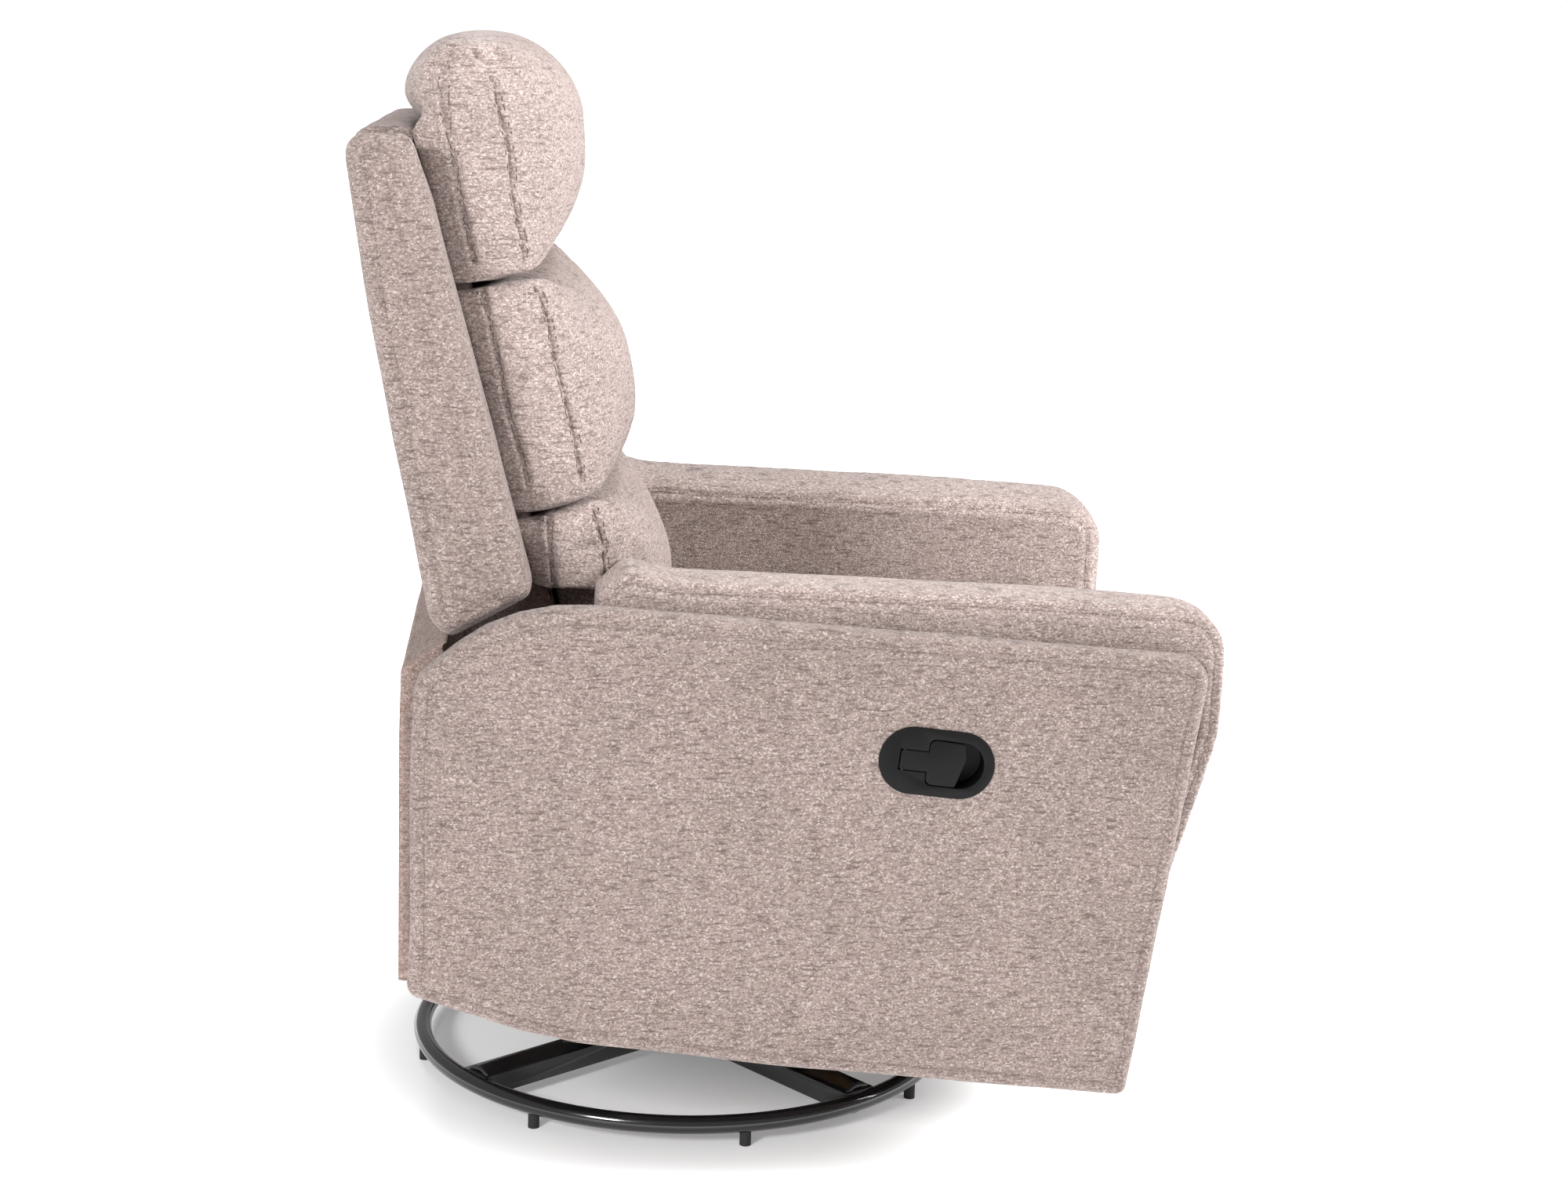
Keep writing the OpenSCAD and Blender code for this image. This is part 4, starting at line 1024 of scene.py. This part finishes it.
def ring_tube():
    bpy.ops.object.select_all(action="DESELECT")
    bpy.ops.mesh.primitive_torus_add(location=(0, 0, 0), major_radius=ring_r, minor_radius=tube_r,
                                     major_segments=192, minor_segments=28)
    ring = bpy.context.active_object
    ring.name = "ring_tube"
    set_points(ring, get_points(ring) + np.array(ring_middle))
    smooth_all(ring)
    settle(ring, ring_gloss, "base", "base_gloss", "base_ring")


def ring_sleeve():
    """The sleeve over the tube's butt joint, spun round the ring's middle."""
    bpy.ops.object.select_all(action="DESELECT")
    bpy.ops.mesh.primitive_circle_add(vertices=28, radius=tube_r + 0.9 * MM, fill_type="NGON")
    sleeve = bpy.context.active_object
    sleeve.name = "ring_sleeve"
    section = get_points(sleeve)
    out = ring_r + section[:, 0]
    set_points(sleeve, level_seam(ring_middle.x + out * math.cos(SLEEVE_START),
                                  ring_middle.y + out * math.sin(SLEEVE_START),
                                  ring_middle.z + section[:, 1]))
    bpy.ops.object.mode_set(mode="EDIT")
    bpy.ops.mesh.select_all(action="SELECT")
    bpy.ops.mesh.spin(steps=60, angle=SLEEVE_TURN, center=ring_middle, axis=(0, 0, 1))
    bpy.ops.mesh.select_all(action="SELECT")
    bpy.ops.mesh.normals_make_consistent(inside=False)
    bpy.ops.object.mode_set(mode="OBJECT")
    finish_modifier(sleeve, "BEVEL", width=0.7 * MM, segments=2, limit_method="ANGLE", angle_limit=1.0)
    only(sleeve)
    bpy.ops.object.shade_smooth_by_angle(angle=0.7)
    settle(sleeve, ring_gloss, "base", "base_gloss")


def welds():
    """A bead where each end of the cross meets the ring."""
    beads = []
    for number in range(4):
        turn = math.radians(CROSS_TURN + 90 * number)
        bpy.ops.object.select_all(action="DESELECT")
        bpy.ops.mesh.primitive_torus_add(major_radius=13 * MM, minor_radius=2.2 * MM, major_segments=36,
                                         minor_segments=10)
        bead = bpy.context.active_object
        shape = get_points(bead)
        shape[:, 0] *= 1.36
        shape += get_normals(bead) * (soft_noise(shape, 260, number) * 0.6 * MM)[:, None]
        out = np.array([math.cos(turn), math.sin(turn), 0])
        along = np.array([-math.sin(turn), math.cos(turn), 0])
        place = np.array(ring_middle) + out * (ring_r - tube_r + 1.5 * MM)
        set_points(bead, place + np.outer(shape[:, 0], along) + np.outer(shape[:, 1], (0, 0, 1))
                   + np.outer(shape[:, 2], out))
        beads.append(bead)
    piece = join(beads)
    piece.name = "cross_welds"
    smooth_all(piece)
    settle(piece, satin_black, "base", "base_gloss")


# How far each hard part's edges are eased
EASED = {"base_cross": 1.6 * MM, "handle_bezel": 1.0 * MM, "release_paddle": 0.7 * MM,
         "stand_uprights": 0.6 * MM, "upper_plate": 0.6 * MM, "glide_rails": 0.6 * MM, "cross_beams": 2 * MM,
         "seat_side_rails": 1.5 * MM, "seat_cross_rails": 1.5 * MM, "front_glide_links": 0.5 * MM,
         "rear_glide_links": 0.5 * MM, "back_stiles": 1.5 * MM, "back_rails": 1.5 * MM,
         "footrest_board": 1.2 * MM, "footrest_brackets": 0.5 * MM}
FINISH = {"timber": timber, "base_gloss": ring_gloss, "mechanism_steel": satin_black, "zinc_steel": zinc,
          "foot_rubber": rubber, "handle_plastic": moulding, "cushion_fabric": pillow_cloth,
          "panel_fabric": panel_cloth, "deck_cloth": felt}
# Wood that the upholsterer wraps in thin cloth, since its edges show past the padding. The cloth's darker tone is
# painted shade.
WRAPPED = ("arm_frame_left", "arm_frame_right", "footrest_board", "seat_lip")


def finish_of(node, slot):
    return shade_liner_cloth if node in WRAPPED else FINISH[slot]


def eased_parts():
    """Hard parts with their sharp edges eased, as pressed, sawn and moulded parts have."""
    bodies = frame["record"]["behaviour"]["bodies"]
    body_of = {node: name for name, nodes in bodies.items() for node in nodes}
    slot_of = {part["node"]: part["material_slot"] for part in frame["record"]["subparts"]}
    for node, width in EASED.items():
        piece = copy_node(node, node + "_eased")
        finish_modifier(piece, "BEVEL", width=width, segments=2, limit_method="ANGLE", angle_limit=0.7,
                        harden_normals=False)
        only(piece)
        bpy.ops.object.shade_smooth_by_angle(angle=0.6)
        settle(piece, finish_of(node, slot_of[node]), body_of[node], slot_of[node], node)


def frame_finishes():
    """The frame parts that stay as they are, each in its finish."""
    for part in frame["record"]["subparts"]:
        cad = frame["nodes"][part["node"]]
        cad.data.materials.clear()
        cad.data.materials.append(finish_of(part["node"], part["material_slot"]))


side_panels()
arm_pads()
wings()
back_cover()
stile_wraps()
back_lining()
pillows()
seat_cushion()
footrest_pad()
rear_skirt()
deck_sheet()
ring_tube()
ring_sleeve()
welds()
eased_parts()
frame_finishes()


# ---- Floor, light and camera ----

SKY, SKY_SEEN = 0.46, 1.05
# The painted shade on the floor: its middle, the radius inside which the glow is dimmed to SHADE_GLOW, and where
# full glow returns
SHADE_MIDDLE, SHADE_IN, SHADE_OUT, SHADE_GLOW = (0, 0.071, 0), 0.27, 0.46, 0.22
# Each lamp: its place, what it points at, its width and its power
LAMPS = {"front_softbox": ((-0.6, -3.0, 2.0), (0, 0, 0.7), 1.4, 165),
         "rear_softbox": ((-2.8, 2.0, 1.8), (0, 0.2, 0.7), 0.7, 100),
         "top_softbox": ((-0.3, 0.0, 3.4), (0, 0, 0.4), 2.0, 60)}


def pale_floor():
    """A white floor that glows as a backdrop. Under the chair its glow dims, a painted shade beside the chair's
    cast shade.
    """
    bpy.ops.object.select_all(action="DESELECT")
    bpy.ops.mesh.primitive_plane_add(size=60, location=(0, 0, 0))
    floor = bpy.context.active_object
    floor.name = "floor"
    material, n, shader, place = start_material("pale_floor", Roughness=0.6, Specular_IOR_Level=0.3)
    slow = n.add("ShaderNodeTexNoise", {"Vector": place, "Scale": 3.0, "Detail": 2.0}).outputs[0]
    n.put(shader.inputs["Base Color"], n.mix(slow, (0.80, 0.80, 0.805, 1), (0.84, 0.84, 0.84, 1)))
    middle = n.add("ShaderNodeVectorMath", {0: place, 1: SHADE_MIDDLE}, operation="SUBTRACT").outputs[0]
    away = n.add("ShaderNodeVectorMath", {0: middle}, operation="LENGTH").outputs["Value"]
    glow = n.add("ShaderNodeMapRange", {0: away, 1: SHADE_IN, 2: SHADE_OUT, 3: SHADE_GLOW, 4: 1.0},
                 interpolation_type="SMOOTHSTEP").outputs[0]
    shader.inputs["Emission Color"].default_value = (1, 1, 1, 1)
    n.put(shader.inputs["Emission Strength"], glow)
    floor.data.materials.append(material)


def studio():
    """An even sky and three softboxes."""
    world = bpy.data.worlds.new("studio")
    scene.world = world
    world.use_nodes = True
    sky = Nodes(world.node_tree)
    light = world.node_tree.nodes["Background"]
    light.inputs["Color"].default_value = (1, 1, 1, 1)
    seen = sky.add("ShaderNodeLightPath").outputs["Is Camera Ray"]
    sky.put(light.inputs["Strength"], sky.spread(seen, 0, 1, SKY, SKY_SEEN))
    for name, (place, target, size, power) in LAMPS.items():
        lamp = bpy.data.lights.new(name, "AREA")
        lamp.shape = "SQUARE"
        lamp.size = size
        lamp.energy = power
        holder = bpy.data.objects.new(name, lamp)
        scene.collection.objects.link(holder)
        holder.location = place
        holder.rotation_euler = (Vector(target) - Vector(place)).to_track_quat("-Z", "Y").to_euler()
    scene.view_settings.view_transform = "Standard"


EYE = (-2.6075, 0.2187, 1.0421)
YAW, PITCH, ROLL = -0.092, 0.2131, 0.0342
FOCAL_LENGTH, SENSOR_WIDTH = 60.43, 36


def camera():
    """A camera at the sitter's right, looking a little down."""
    level_part = math.cos(PITCH)
    forward = Vector((math.cos(YAW) * level_part, math.sin(YAW) * level_part, -math.sin(PITCH)))
    level = forward.cross(Vector((0, 0, 1))).normalized()
    up = level.cross(forward)
    right = math.cos(ROLL) * level + math.sin(ROLL) * up
    top = -math.sin(ROLL) * level + math.cos(ROLL) * up
    lens = bpy.data.cameras.new("camera")
    lens.lens = FOCAL_LENGTH
    lens.sensor_width = SENSOR_WIDTH
    holder = bpy.data.objects.new("camera", lens)
    scene.collection.objects.link(holder)
    turn = Matrix((right, top, -forward)).transposed().to_4x4()
    holder.matrix_world = Matrix.Translation(EYE) @ turn
    scene.camera = holder


pale_floor()
studio()
camera()
